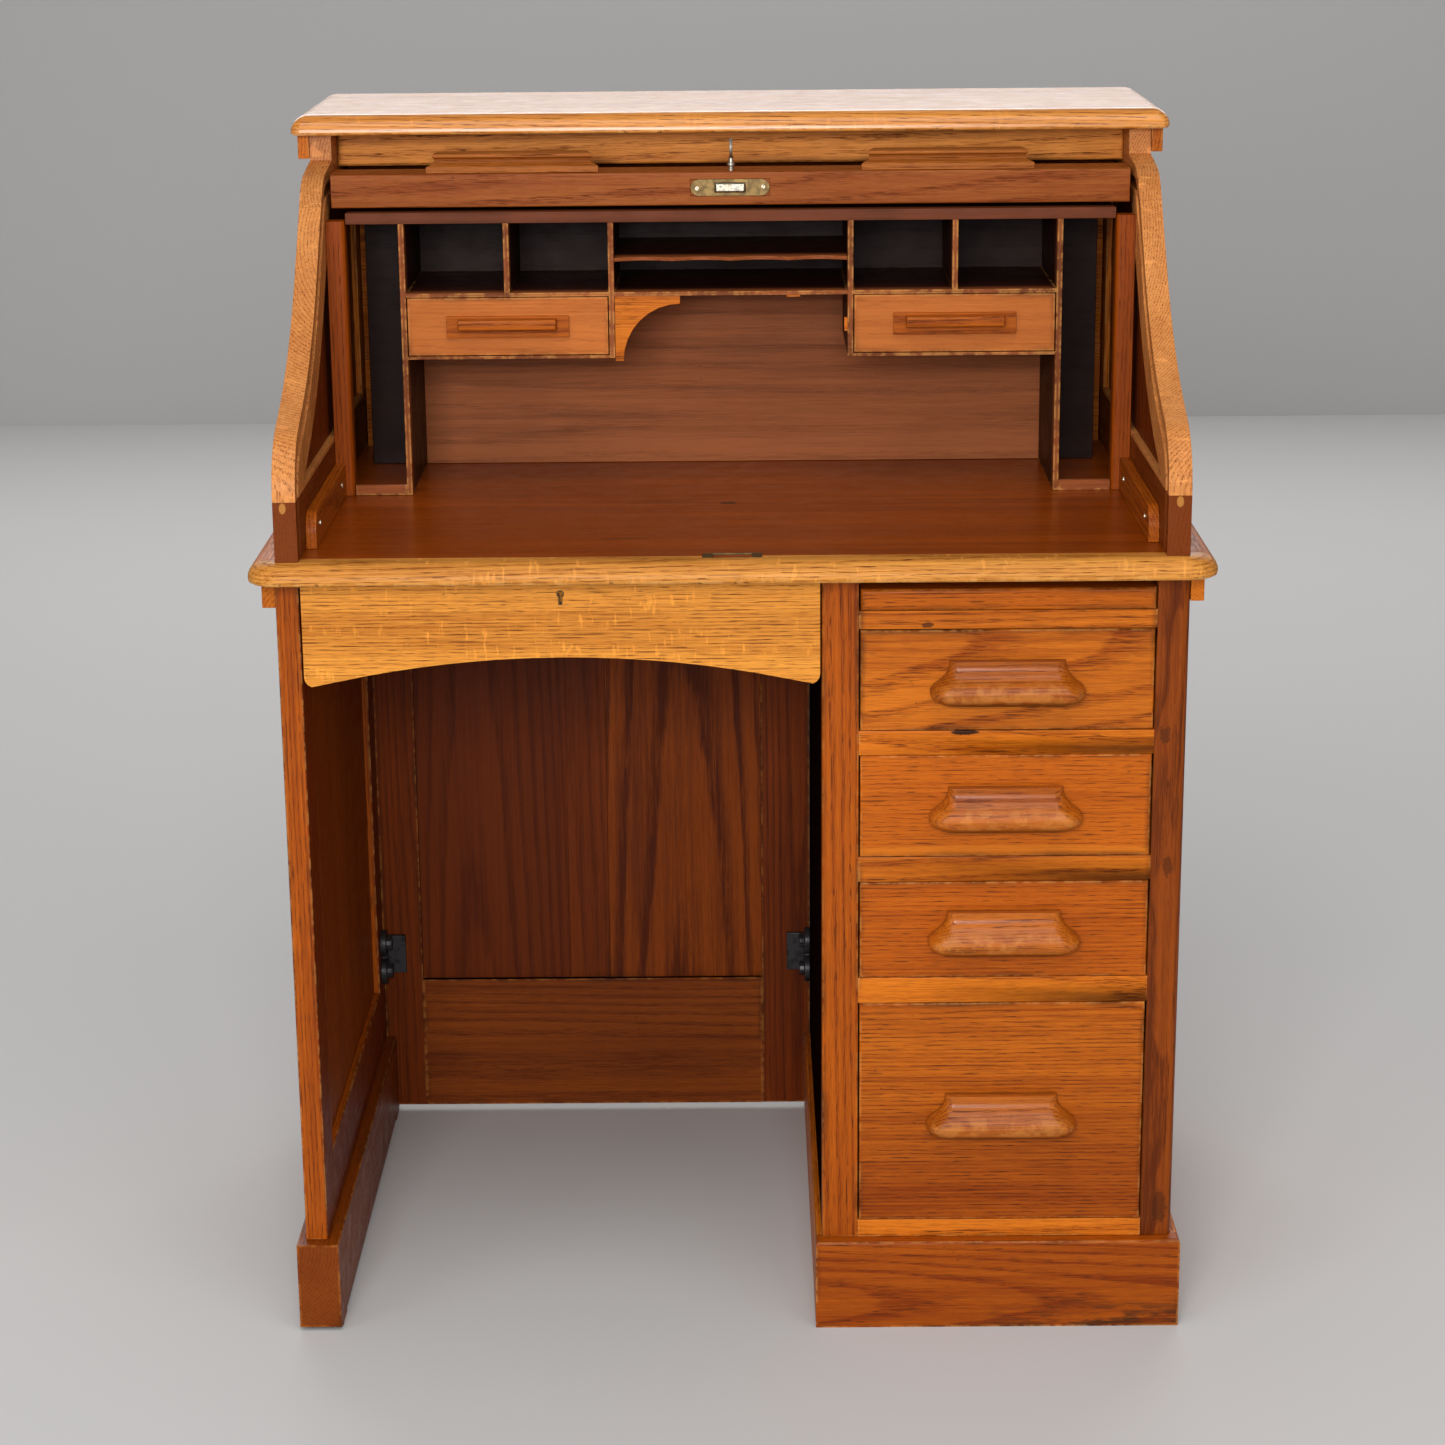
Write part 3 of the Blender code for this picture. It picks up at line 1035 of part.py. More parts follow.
def make_finger_lift(name, x, front, level, material, origin):
    """A grip with a base strip, a hollow and a projecting lip, its ends cut back at an angle."""
    profile = [(0.003, 0.0, 0.084), (0.003, 0.006, 0.084), (0.006, 0.0078, 0.080), (0.0105, 0.0090, 0.077),
               (0.0115, 0.0115, 0.076), (0.0095, 0.0138, 0.077), (0.0052, 0.0150, 0.078),
               (0.0050, 0.0175, 0.078), (0.0080, 0.0190, 0.076)]
    rings = []
    for y, z, half in profile:
        rings.append([(x - half, front + y, level + z), (x + half, front + y, level + z),
                      (x + half - BITE, front + LIFT_BACK, level + z),
                      (x - half + BITE, front + LIFT_BACK, level + z)])
    piece(name, stack(rings), material, origin, smooth=True)


def make_key(key_y, face, tip, steel):
    """A shaft with a collar, and an oval bow that stands edge-on to the sitter."""
    bow_middle = face + KEY_STAND - KEY_BOW
    collar_low, collar_high = face + 0.005, face + 0.007
    levels = ((tip, 1), (collar_low - 0.001, 1), (collar_low, KEY_COLLAR), (collar_high, KEY_COLLAR),
              (collar_high + 0.001, 1), (bow_middle - KEY_BOW + 0.001, 0.9))
    rings = [[(x, y, z) for x, y in arc((KEY_X, key_y), KEY_RADIUS * share, 0, 330, 11)]
             for z, share in levels]
    key = piece("key", stack(rings), steel, (KEY_X, key_y, face), smooth=True)
    bow = bmesh.new()
    rows, around = 16, 6
    grid = []
    for n in range(rows):
        turn = 2 * math.pi * n / rows
        out = Vector((0, math.cos(turn), math.sin(turn)))
        middle = Vector((KEY_X, key_y + 0.8 * KEY_BOW * out.y, bow_middle + KEY_BOW * out.z))
        ring = []
        for m in range(around):
            angle = 2 * math.pi * m / around
            off = out * math.cos(angle) + Vector((math.sin(angle), 0, 0))
            ring.append(bow.verts.new(middle + KEY_WIRE * off))
        grid.append(ring)
    for n in range(rows):
        following = grid[(n + 1) % rows]
        for m in range(around):
            after = (m + 1) % around
            bow.faces.new((grid[n][m], following[m], following[after], grid[n][after]))
    cut(key, bow, "UNION")


def main():
    clear_scene()
    oak = finish("oak", 0.50, 0.22, 0.065, 0.38)
    dark_oak = finish("dark_oak", 0.34, 0.13, 0.035, 0.40)
    pale_oak = finish("pale_oak", 0.58, 0.25, 0.085, 0.45)
    mahogany = finish("mahogany", 0.30, 0.11, 0.045, 0.45)
    brass = finish("brass", 0.42, 0.32, 0.16, 0.40, 1.0)
    steel = finish("steel", 0.62, 0.60, 0.56, 0.28, 1.0)
    iron = finish("iron", 0.03, 0.03, 0.035, 0.45, 0.6)
    make_desktop(oak)
    make_strike(brass)
    make_left_end(oak)
    make_left_skid(oak)
    make_front_frame(oak)
    make_pedestal_sides(oak)
    make_pedestal_base(oak)
    make_modesty(oak)
    make_iron_fasteners(iron)
    make_pedestal_drawers(oak)
    make_slide(oak)
    make_knee_drawer(oak, brass)
    make_s_ends(oak)
    make_lid(oak)
    make_case_back(oak)
    make_posts(dark_oak)
    make_rack(dark_oak, mahogany, pale_oak)
    make_small_drawers(pale_oak, dark_oak)
    make_lock_rail(oak, brass, steel)
    make_curtain(dark_oak)


main()
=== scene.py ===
import json
import math
import random

import bpy
from mathutils import Matrix, Vector


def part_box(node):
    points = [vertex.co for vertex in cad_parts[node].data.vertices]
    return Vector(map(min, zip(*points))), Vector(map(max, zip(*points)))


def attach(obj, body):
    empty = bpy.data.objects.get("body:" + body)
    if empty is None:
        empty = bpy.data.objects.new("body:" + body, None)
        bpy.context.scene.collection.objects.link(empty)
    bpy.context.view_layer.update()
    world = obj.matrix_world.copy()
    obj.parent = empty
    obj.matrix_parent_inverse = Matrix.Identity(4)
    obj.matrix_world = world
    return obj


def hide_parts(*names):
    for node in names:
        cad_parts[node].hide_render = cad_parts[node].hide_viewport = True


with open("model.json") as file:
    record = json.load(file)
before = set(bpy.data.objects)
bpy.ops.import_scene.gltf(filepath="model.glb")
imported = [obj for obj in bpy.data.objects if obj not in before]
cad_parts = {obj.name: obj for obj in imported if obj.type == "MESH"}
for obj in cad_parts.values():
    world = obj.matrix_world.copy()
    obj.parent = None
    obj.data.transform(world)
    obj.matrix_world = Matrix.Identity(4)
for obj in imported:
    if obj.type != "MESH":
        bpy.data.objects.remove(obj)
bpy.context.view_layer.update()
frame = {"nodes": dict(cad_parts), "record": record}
bpy.context.scene.view_settings.view_transform = "Standard"
print("frame loaded:", len(frame["nodes"]), "nodes")

saw = 0.00005                              # half of the hairline left at a glued joint


# working at the bench: selecting, cutting and easing
def takeUp(obj):
    if bpy.context.object and bpy.context.object.mode != "OBJECT":
        bpy.ops.object.mode_set(mode="OBJECT")
    bpy.ops.object.select_all(action="DESELECT")
    obj.select_set(True)
    bpy.context.view_layer.objects.active = obj
    return obj


def easeEdges(obj, width, segments=2, angle=32):
    takeUp(obj)
    bevel = obj.modifiers.new("easedEdges", "BEVEL")
    bevel.width = width
    bevel.segments = segments
    bevel.limit_method = "ANGLE"
    bevel.angle_limit = math.radians(angle)
    bpy.ops.object.modifier_apply(modifier=bevel.name)
    return obj


def smoothFaces(obj, angle=34):
    takeUp(obj)
    bpy.ops.object.shade_smooth_by_angle(angle=math.radians(angle))
    evened = obj.modifiers.new("flatFaces", "WEIGHTED_NORMAL")
    evened.keep_sharp = True
    bpy.ops.object.modifier_apply(modifier=evened.name)
    return obj


def boardFrom(node, name, low=None, high=None, edge=0.0007, segments=2):
    # a board sawn out of a frame's solid: low and high are the planes it lies between
    mesh = frame["nodes"][node].data.copy()
    mesh.materials.clear()
    board = bpy.data.objects.new(name, mesh)
    bpy.context.scene.collection.objects.link(board)
    takeUp(board)
    bpy.ops.mesh.customdata_custom_splitnormals_clear()
    bpy.ops.object.mode_set(mode="EDIT")
    bpy.ops.mesh.select_mode(type="VERT")
    bpy.ops.mesh.select_all(action="SELECT")
    bpy.ops.mesh.remove_doubles(threshold=0.00001)
    for corner, above in ((low, True), (high, False)):
        for axis in range(3):
            if corner is None or corner[axis] is None:
                continue
            point, normal = [0, 0, 0], [0, 0, 0]
            point[axis], normal[axis] = corner[axis], 1
            bpy.ops.mesh.select_all(action="SELECT")
            bpy.ops.mesh.bisect(plane_co=point, plane_no=normal, use_fill=True, clear_inner=above,
                                clear_outer=not above)
    bpy.ops.mesh.select_all(action="SELECT")
    bpy.ops.mesh.dissolve_limited(angle_limit=math.radians(0.5))
    bpy.ops.mesh.select_all(action="SELECT")
    bpy.ops.mesh.normals_make_consistent(inside=False)
    bpy.ops.object.mode_set(mode="OBJECT")
    if edge:
        easeEdges(board, edge, segments)
    return smoothFaces(board)


def boxOf(obj):
    points = [v.co for v in obj.data.vertices]
    low = Vector([min(p[n] for p in points) for n in range(3)])
    high = Vector([max(p[n] for p in points) for n in range(3)])
    return low, high


# node helpers
def newGroup(name, inputs, outputs):
    tree = bpy.data.node_groups.new(name, "ShaderNodeTree")
    for label, kind, value in inputs:
        socket = tree.interface.new_socket(name=label, in_out="INPUT", socket_type="NodeSocket" + kind)
        socket.default_value = value
    for label, kind in outputs:
        tree.interface.new_socket(name=label, in_out="OUTPUT", socket_type="NodeSocket" + kind)
    return tree, tree.nodes.new("NodeGroupInput").outputs, tree.nodes.new("NodeGroupOutput").inputs


def feed(tree, socket, value):
    if isinstance(value, bpy.types.NodeSocket):
        tree.links.new(value, socket)
    else:
        socket.default_value = value


def sums(tree, operation, a, b=0.0, c=0.0, clamp=False):
    node = tree.nodes.new("ShaderNodeMath")
    node.operation = operation
    node.use_clamp = clamp
    for socket, value in zip(node.inputs, (a, b, c)):
        feed(tree, socket, value)
    return node.outputs[0]


def vectors(tree, operation, a, b=(0, 0, 0)):
    node = tree.nodes.new("ShaderNodeVectorMath")
    node.operation = operation
    feed(tree, node.inputs[0], a)
    feed(tree, node.inputs[1], b)
    return node.outputs["Value" if operation == "LENGTH" else "Vector"]


def noise(tree, vector, stretch, detail=2.0, roughness=0.5):
    node = tree.nodes.new("ShaderNodeTexNoise")
    node.inputs["Scale"].default_value = 1.0
    node.inputs["Detail"].default_value = detail
    node.inputs["Roughness"].default_value = roughness
    feed(tree, node.inputs["Vector"], vectors(tree, "MULTIPLY", vector, stretch))
    return node.outputs["Fac"]


def between(tree, value, low, high, start=0.0, end=1.0, kind="SMOOTHSTEP"):
    node = tree.nodes.new("ShaderNodeMapRange")
    node.interpolation_type = kind
    for label, number in (("Value", value), ("From Min", low), ("From Max", high), ("To Min", start),
                          ("To Max", end)):
        feed(tree, node.inputs[label], number)
    return node.outputs["Result"]


def blendColour(tree, factor, a, b, kind="MIX"):
    node = tree.nodes.new("ShaderNodeMix")
    node.data_type = "RGBA"
    node.blend_type = kind
    feed(tree, node.inputs["Factor"], factor)
    for label, value in (("A", a), ("B", b)):
        socket = [s for s in node.inputs if s.name == label and s.type == "RGBA"][0]
        feed(tree, socket, value if isinstance(value, bpy.types.NodeSocket) else (*value, 1))
    return [s for s in node.outputs if s.type == "RGBA"][0]


# effects shared by the finishes
def makeTimberGroup():
    # X runs along the grain, Y across the board and Z into it; rings stand round a pith line behind the face
    tree, given, result = newGroup("timber", [
        ("Vector", "Vector", (0, 0, 0)), ("Ring spacing", "Float", 0.004), ("Wander", "Float", 0.01),
        ("Tilt", "Float", 0.03), ("Rings", "Float", 0.5), ("Streaks", "Float", 0.5), ("Pores", "Float", 0.5),
        ("Flecks", "Float", 0.0)], [("Tone", "Float"), ("Pore mask", "Float"), ("Fleck mask", "Float"),
                                    ("Height", "Float")])
    place = given["Vector"]
    parts = tree.nodes.new("ShaderNodeSeparateXYZ")
    tree.links.new(place, parts.inputs[0])
    swayY = sums(tree, "SUBTRACT", noise(tree, place, (1.7, 8.0, 8.0), 2.0), 0.5)
    swayZ = sums(tree, "SUBTRACT", noise(tree, vectors(tree, "ADD", place, (7.3, 1.9, 4.1)),
                                         (2.3, 11.0, 11.0), 3.0), 0.5)
    ragged = sums(tree, "SUBTRACT", noise(tree, place, (22, 160, 160), 2.0), 0.5)
    across = sums(tree, "MULTIPLY_ADD", swayY, given["Wander"], parts.outputs["Y"])
    deep = sums(tree, "MULTIPLY_ADD", swayZ, given["Wander"], parts.outputs["Z"])
    deep = sums(tree, "MULTIPLY_ADD", parts.outputs["X"], given["Tilt"], deep)
    squared = sums(tree, "MULTIPLY_ADD", deep, deep, sums(tree, "MULTIPLY", across, across))
    turns = sums(tree, "DIVIDE", sums(tree, "SQRT", squared), given["Ring spacing"])
    turns = sums(tree, "MULTIPLY_ADD", ragged, 0.22, turns)
    year = sums(tree, "FRACT", turns)
    early = sums(tree, "MULTIPLY", between(tree, year, 0.0, 0.12), between(tree, year, 0.62, 0.12))
    fibre = noise(tree, place, (26, 900, 900), 3.0, 0.65)
    streak = noise(tree, place, (3.2, 210, 210), 4.0, 0.65)
    band = noise(tree, place, (1.1, 26, 26), 3.0)
    broken = between(tree, noise(tree, place, (18, 260, 260), 2.0, 0.6), 0.30, 0.62, 0.45, 1.0)
    tone = sums(tree, "MULTIPLY", sums(tree, "MULTIPLY", early, broken), given["Rings"])
    tone = sums(tree, "MULTIPLY_ADD", between(tree, streak, 0.30, 0.72), given["Streaks"], tone)
    tone = sums(tree, "MULTIPLY_ADD", sums(tree, "SUBTRACT", fibre, 0.5), 1.2, tone)
    tone = sums(tree, "MULTIPLY_ADD", sums(tree, "SUBTRACT", band, 0.5), 1.3, tone)
    dashes = between(tree, noise(tree, place, (60, 1250, 1250), 1.0), 0.56, 0.64)
    longDashes = between(tree, noise(tree, vectors(tree, "ADD", place, (3, 5, 9)), (24, 800, 800), 1.0), 0.59, 0.68)
    pores = sums(tree, "MULTIPLY", sums(tree, "MAXIMUM", dashes, longDashes),
                 sums(tree, "MULTIPLY_ADD", early, 0.70, 0.30))
    pores = sums(tree, "MULTIPLY", pores, given["Pores"], clamp=True)
    rays = between(tree, noise(tree, place, (190, 46, 46), 2.0), 0.58, 0.68)
    rays = sums(tree, "MULTIPLY", rays, between(tree, noise(tree, place, (9, 30, 30), 1.0), 0.42, 0.6))
    tree.links.new(sums(tree, "ADD", tone, 0.0, clamp=True), result["Tone"])
    tree.links.new(pores, result["Pore mask"])
    tree.links.new(sums(tree, "MULTIPLY", rays, given["Flecks"], clamp=True), result["Fleck mask"])
    height = sums(tree, "MULTIPLY_ADD", pores, -1.0, sums(tree, "MULTIPLY", fibre, 0.35))
    tree.links.new(height, result["Height"])
    return tree


def makeEdgeGroup():
    # how close a point of a squared board is to one of its edges, broken up as handling breaks it up: wear pales the
    # arrises, and grime with painted shade darkens the board near its edges
    tree, given, result = newGroup("boardEdges", [
        ("Vector", "Vector", (0, 0, 0)), ("Middle", "Vector", (0, 0, 0)), ("Half", "Vector", (1, 1, 1)),
        ("Width", "Float", 0.003)], [("Wear", "Float"), ("Grime", "Float")])
    away = vectors(tree, "ABSOLUTE", vectors(tree, "SUBTRACT", given["Vector"], given["Middle"]))
    left = tree.nodes.new("ShaderNodeSeparateXYZ")
    tree.links.new(vectors(tree, "SUBTRACT", given["Half"], away), left.inputs[0])
    x, y, z = (left.outputs[n] for n in "XYZ")
    nearest = sums(tree, "MAXIMUM", sums(tree, "MINIMUM", x, y),
                   sums(tree, "MINIMUM", sums(tree, "MAXIMUM", x, y), z))
    rough = noise(tree, given["Vector"], (90, 90, 90), 3.0, 0.65)
    broad = noise(tree, given["Vector"], (14, 14, 14), 2.0)
    wear = between(tree, nearest, given["Width"], 0.0)
    wear = sums(tree, "MULTIPLY", wear, between(tree, rough, 0.40, 0.62))
    reach = sums(tree, "MULTIPLY_ADD", broad, 0.010, 0.001)
    # grime and painted shade: darker within a few millimetres of every edge
    grime = sums(tree, "MULTIPLY", between(tree, nearest, reach, 0.0), between(tree, broad, 0.35, 0.7))
    tree.links.new(wear, result["Wear"])
    tree.links.new(grime, result["Grime"])
    return tree


def makePatchGroup():
    # old polish: cloudy light and dark patches, small dents and dull spots
    tree, given, result = newGroup("oldPolish", [("Vector", "Vector", (0, 0, 0))],
                                   [("Cloud", "Float"), ("Marks", "Float"), ("Dullness", "Float")])
    tree.links.new(noise(tree, given["Vector"], (4.5, 4.5, 4.5), 3.0), result["Cloud"])
    specks = noise(tree, given["Vector"], (160, 160, 160), 2.0, 0.6)
    where = noise(tree, given["Vector"], (11, 11, 11), 2.0)
    marks = sums(tree, "MULTIPLY", between(tree, specks, 0.70, 0.78), between(tree, where, 0.5, 0.65))
    tree.links.new(marks, result["Marks"])
    tree.links.new(noise(tree, given["Vector"], (38, 38, 38), 3.0, 0.6), result["Dullness"])
    return tree


timberGroup = makeTimberGroup()
edgeGroup = makeEdgeGroup()
patchGroup = makePatchGroup()


def placeGroup(tree, group, **values):
    node = tree.nodes.new("ShaderNodeGroup")
    node.node_tree = group
    for label, value in values.items():
        feed(tree, node.inputs[label.replace("_", " ")], value)
    return node.outputs


# the woods
goldenOak = dict(light=(0.68, 0.180, 0.010), dark=(0.34, 0.062, 0.002), pore=(0.10, 0.018, 0.001),
                 worn=(0.80, 0.36, 0.09), grime=(0.050, 0.012, 0.002), ringSpacing=0.0032, rings=0.42,
                 streaks=0.50, pores=0.9, flecks=0.0, wander=0.006, rough=0.42, coat=0.05, wear=0.40, dirt=0.6)
darkOak = dict(goldenOak, light=(0.42, 0.095, 0.004), dark=(0.19, 0.030, 0.001), worn=(0.60, 0.22, 0.04))
shadedOak = dict(darkOak, light=(0.20, 0.032, 0.0005), dark=(0.075, 0.010, 0.0003))
fieldOak = dict(goldenOak, light=(0.33, 0.058, 0.001), dark=(0.13, 0.019, 0.0005), rough=0.34, wear=0.0,
                pores=0.5, coat=0.25)
rackOak = dict(goldenOak, light=(0.32, 0.085, 0.022), dark=(0.15, 0.034, 0.008), pores=0.4, rings=0.2,
               rough=0.5, wear=0.5)
smallOak = dict(goldenOak, light=(0.54, 0.155, 0.028), dark=(0.34, 0.080, 0.010), pores=0.3, rings=0.12,
                streaks=0.35, rough=0.45)
mahogany = dict(goldenOak, light=(0.34, 0.100, 0.030), dark=(0.16, 0.042, 0.011), pores=0.3, rings=0.15,
                streaks=0.45, ringSpacing=0.012, rough=0.45, wear=0.0)
boxPine = dict(goldenOak, light=(0.62, 0.28, 0.095), dark=(0.42, 0.165, 0.048), pores=0.3, rough=0.6, coat=0.0)


def grainMapping(tree, low, high, grain, deep, pith, dice):
    # turns the board so that its grain lies along X and its thickness along Z, about its own middle
    size = high - low
    order = sorted(range(3), key=lambda n: size[n])
    grain = order[2] if grain is None else "XYZ".index(grain)
    deep = [n for n in order if n != grain][0] if deep is None else "XYZ".index(deep)
    axes = [Vector([1.0 if n == m else 0.0 for m in range(3)]) for n in (grain, deep)]
    turn = Matrix((axes[0], axes[1].cross(axes[0]), axes[1]))
    across, behind = pith
    shift = Vector((dice.uniform(3, 30), across, behind)) - turn @ ((low + high) / 2)
    coords = tree.nodes.new("ShaderNodeTexCoord")
    mapping = tree.nodes.new("ShaderNodeMapping")
    mapping.inputs["Rotation"].default_value = turn.to_euler("XYZ")
    mapping.inputs["Location"].default_value = shift
    tree.links.new(coords.outputs["Object"], mapping.inputs["Vector"])
    return coords.outputs["Object"], mapping.outputs["Vector"]


def bareMaterial(name, roughness, metallic=0.0, coat=0.0):
    material = bpy.data.materials.new(name)
    material.use_nodes = True
    shader = material.node_tree.nodes["Principled BSDF"]
    shader.inputs["Roughness"].default_value = roughness
    shader.inputs["Metallic"].default_value = metallic
    shader.inputs["Coat Weight"].default_value = coat
    shader.inputs["Coat Roughness"].default_value = 0.22
    shader.inputs["Specular IOR Level"].default_value = 0.5 if metallic else 0.12
    return material, material.node_tree, shader


def woodFinish(obj, wood, grain=None, deep=None, pith=None, squared=True, tint=None, **change):
    look = dict(wood, **change)
    dice = random.Random(obj.name)
    low, high = boxOf(obj)
    if pith is None:
        pith = (dice.uniform(-0.06, 0.06), dice.choice((-1, 1)) * dice.uniform(0.05, 0.16))
    material, tree, shader = bareMaterial(obj.name + "_finish", look["rough"], 0.0, look["coat"])
    place, board = grainMapping(tree, low, high, grain, deep, pith, dice)
    timber = placeGroup(tree, timberGroup, Vector=board, Ring_spacing=look["ringSpacing"] * dice.uniform(0.8, 1.25),
                        Wander=look["wander"], Tilt=look.get("tilt", dice.uniform(-0.012, 0.012)), Rings=look["rings"],
                        Streaks=look["streaks"], Pores=look["pores"], Flecks=look["flecks"])
    polish = placeGroup(tree, patchGroup, Vector=board)
    light, dark = Vector(look["light"]), Vector(look["dark"])
    lift = dice.uniform(0.90, 1.10)
    colour = blendColour(tree, timber["Tone"], light * lift, dark * lift)
    cloud = between(tree, polish["Cloud"], 0.35, 0.75, 0.0, 0.22)
    colour = blendColour(tree, cloud, colour, dark * 0.85 * lift)
    colour = blendColour(tree, timber["Pore mask"], colour, look["pore"])
    colour = blendColour(tree, timber["Fleck mask"], colour, light * 1.35)
    colour = blendColour(tree, sums(tree, "MULTIPLY", polish["Marks"], 0.7), colour, look["grime"])
    if tint is not None:
        colour = tint(tree, place, colour)
    if squared:
        edges = placeGroup(tree, edgeGroup, Vector=place, Middle=(low + high) / 2, Half=(high - low) / 2)
        # grime and painted shade darken each board near its edges
        colour = blendColour(tree, sums(tree, "MULTIPLY", edges["Grime"], look["dirt"]), colour, look["grime"])
        colour = blendColour(tree, sums(tree, "MULTIPLY", edges["Wear"], look["wear"]), colour, look["worn"])
    tree.links.new(colour, shader.inputs["Base Color"])
    dull = between(tree, polish["Dullness"], 0.25, 0.75, look["rough"] - 0.06, look["rough"] + 0.10)
    dull = sums(tree, "MULTIPLY_ADD", timber["Pore mask"], 0.25, dull)
    tree.links.new(dull, shader.inputs["Roughness"])
    bump = tree.nodes.new("ShaderNodeBump")
    bump.inputs["Strength"].default_value = 0.26
    bump.inputs["Distance"].default_value = 0.0005
    tree.links.new(timber["Height"], bump.inputs["Height"])
    tree.links.new(bump.outputs["Normal"], shader.inputs["Normal"])
    obj.data.materials.clear()
    obj.data.materials.append(material)
    return obj


def metalFinish(obj, bright, dull, roughness, patina=0.5, metallic=1.0):
    # bright metal shows where it is handled, and the rest has gone dull
    material, tree, shader = bareMaterial(obj.name + "_finish", roughness, metallic)
    coords = tree.nodes.new("ShaderNodeTexCoord").outputs["Object"]
    cloud = noise(tree, coords, (120, 120, 120), 4.0, 0.6)
    fine = noise(tree, coords, (1500, 1500, 1500), 2.0)
    mask = between(tree, cloud, 0.62 - 0.3 * patina, 0.72 - 0.2 * patina)
    colour = blendColour(tree, mask, bright, dull)
    colour = blendColour(tree, between(tree, fine, 0.62, 0.82, 0.0, 0.35), colour, [c * 0.4 for c in dull])
    tree.links.new(colour, shader.inputs["Base Color"])
    tree.links.new(between(tree, cloud, 0.3, 0.7, roughness - 0.08, roughness + 0.18), shader.inputs["Roughness"])
    bump = tree.nodes.new("ShaderNodeBump")
    bump.inputs["Strength"].default_value = 0.25
    bump.inputs["Distance"].default_value = 0.0003
    tree.links.new(cloud, bump.inputs["Height"])
    tree.links.new(bump.outputs["Normal"], shader.inputs["Normal"])
    obj.data.materials.clear()
    obj.data.materials.append(material)
    return obj


metals = dict(
    brass=dict(bright=(0.24, 0.150, 0.055), dull=(0.17, 0.110, 0.045), roughness=0.42, patina=0.7, metallic=0.85),
    steel=dict(bright=(0.60, 0.56, 0.46), dull=(0.34, 0.29, 0.20), roughness=0.28, patina=0.45),
    iron=dict(bright=(0.045, 0.042, 0.045), dull=(0.018, 0.015, 0.014), roughness=0.42, patina=0.5, metallic=0.5))


bodyOf = {node: body for body, nodes in frame["record"]["behaviour"]["bodies"].items() for node in nodes}


# local marks, each laid over a board's own colour
def axisOf(tree, place, axis):
    parts = tree.nodes.new("ShaderNodeSeparateXYZ")
    tree.links.new(place, parts.inputs[0])
    return parts.outputs[axis]


def marked(*marks):
    # marks: middle, half size, colour, strength and how ragged the outline is
    def lay(tree, place, colour):
        for middle, half, paint, strength, ragged in marks:
            away = vectors(tree, "DIVIDE", vectors(tree, "SUBTRACT", place, middle), half)
            reach = vectors(tree, "LENGTH", away)
            broken = sums(tree, "SUBTRACT", noise(tree, place, (240, 240, 240), 3.0, 0.6), 0.5)
            reach = sums(tree, "MULTIPLY_ADD", broken, ragged, reach)
            mask = sums(tree, "MULTIPLY", between(tree, reach, 1.0, 0.7), strength)
            colour = blendColour(tree, mask, colour, paint)
        return colour
    return lay


def shadedAlong(axis, start, end, deepest, others=()):
    # painted shade: where less light reaches, the colour sinks between two levels
    def lay(tree, place, colour):
        mask = between(tree, axisOf(tree, place, axis), start, end)
        for other, first, last in others:
            mask = sums(tree, "MAXIMUM", mask, between(tree, axisOf(tree, place, other), first, last))
        shade = blendColour(tree, 1.0, colour, deepest, "MULTIPLY")
        return blendColour(tree, mask, colour, shade)
    return lay


def wornNosing(level, reach):
    # the low edge of a nosing, rubbed pale and nicked
    def lay(tree, place, colour):
        near = between(tree, axisOf(tree, place, "Z"), level + reach, level)
        rubbed = between(tree, noise(tree, place, (60, 60, 60), 4.0, 0.65), 0.46, 0.62)
        nicked = between(tree, noise(tree, place, (95, 95, 95), 3.0, 0.6), 0.62, 0.68)
        colour = blendColour(tree, sums(tree, "MULTIPLY", near, sums(tree, "MULTIPLY", rubbed, 0.6)), colour,
                             (0.80, 0.42, 0.13))
        return blendColour(tree, sums(tree, "MULTIPLY", near, nicked), colour, (0.16, 0.045, 0.006))
    return lay


def handled(low, high):
    # a grip: grime and painted shadow where it meets the drawer and in its hollow, paler where fingers rub the nose
    def lay(tree, place, colour):
        y, z = axisOf(tree, place, "Y"), axisOf(tree, place, "Z")
        worn = sums(tree, "MULTIPLY", between(tree, y, high.y - 0.012, low.y),
                    between(tree, noise(tree, place, (70, 70, 70), 3.0, 0.6), 0.42, 0.62))
        colour = blendColour(tree, sums(tree, "MULTIPLY", worn, 0.40), colour, (0.66, 0.25, 0.045))
        # painted shadow with grime: dark along the back where the grip meets the drawer and along its bottom
        footShadowAndGrime = sums(tree, "MAXIMUM", between(tree, y, high.y - 0.0035, high.y - 0.0005),
                    between(tree, z, low.z + 0.007, low.z + 0.001))
        return blendColour(tree, sums(tree, "MULTIPLY", footShadowAndGrime, 0.85), colour, (0.045, 0.010, 0.002))
    return lay


def settle(obj, node, first=False):
    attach(obj, bodyOf[node])
    if first:
        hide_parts(node)
    return obj


def sawUp(node, boards, wood=goldenOak, **shared):
    # boards: name, then the planes each lies between and what is special about its finish
    for number, (name, low, high, special) in enumerate(boards):
        special = dict(shared, **special)
        edge = special.pop("edge", 0.0007)
        board = boardFrom(node, name, low, high, edge)
        woodFinish(board, special.pop("wood", wood), **special)
        settle(board, node, number == 0)


def whole(node, name=None, wood=goldenOak, edge=0.0007, **special):
    sawUp(node, [(name or node + "_timber", None, None, dict(special, edge=edge))], wood)


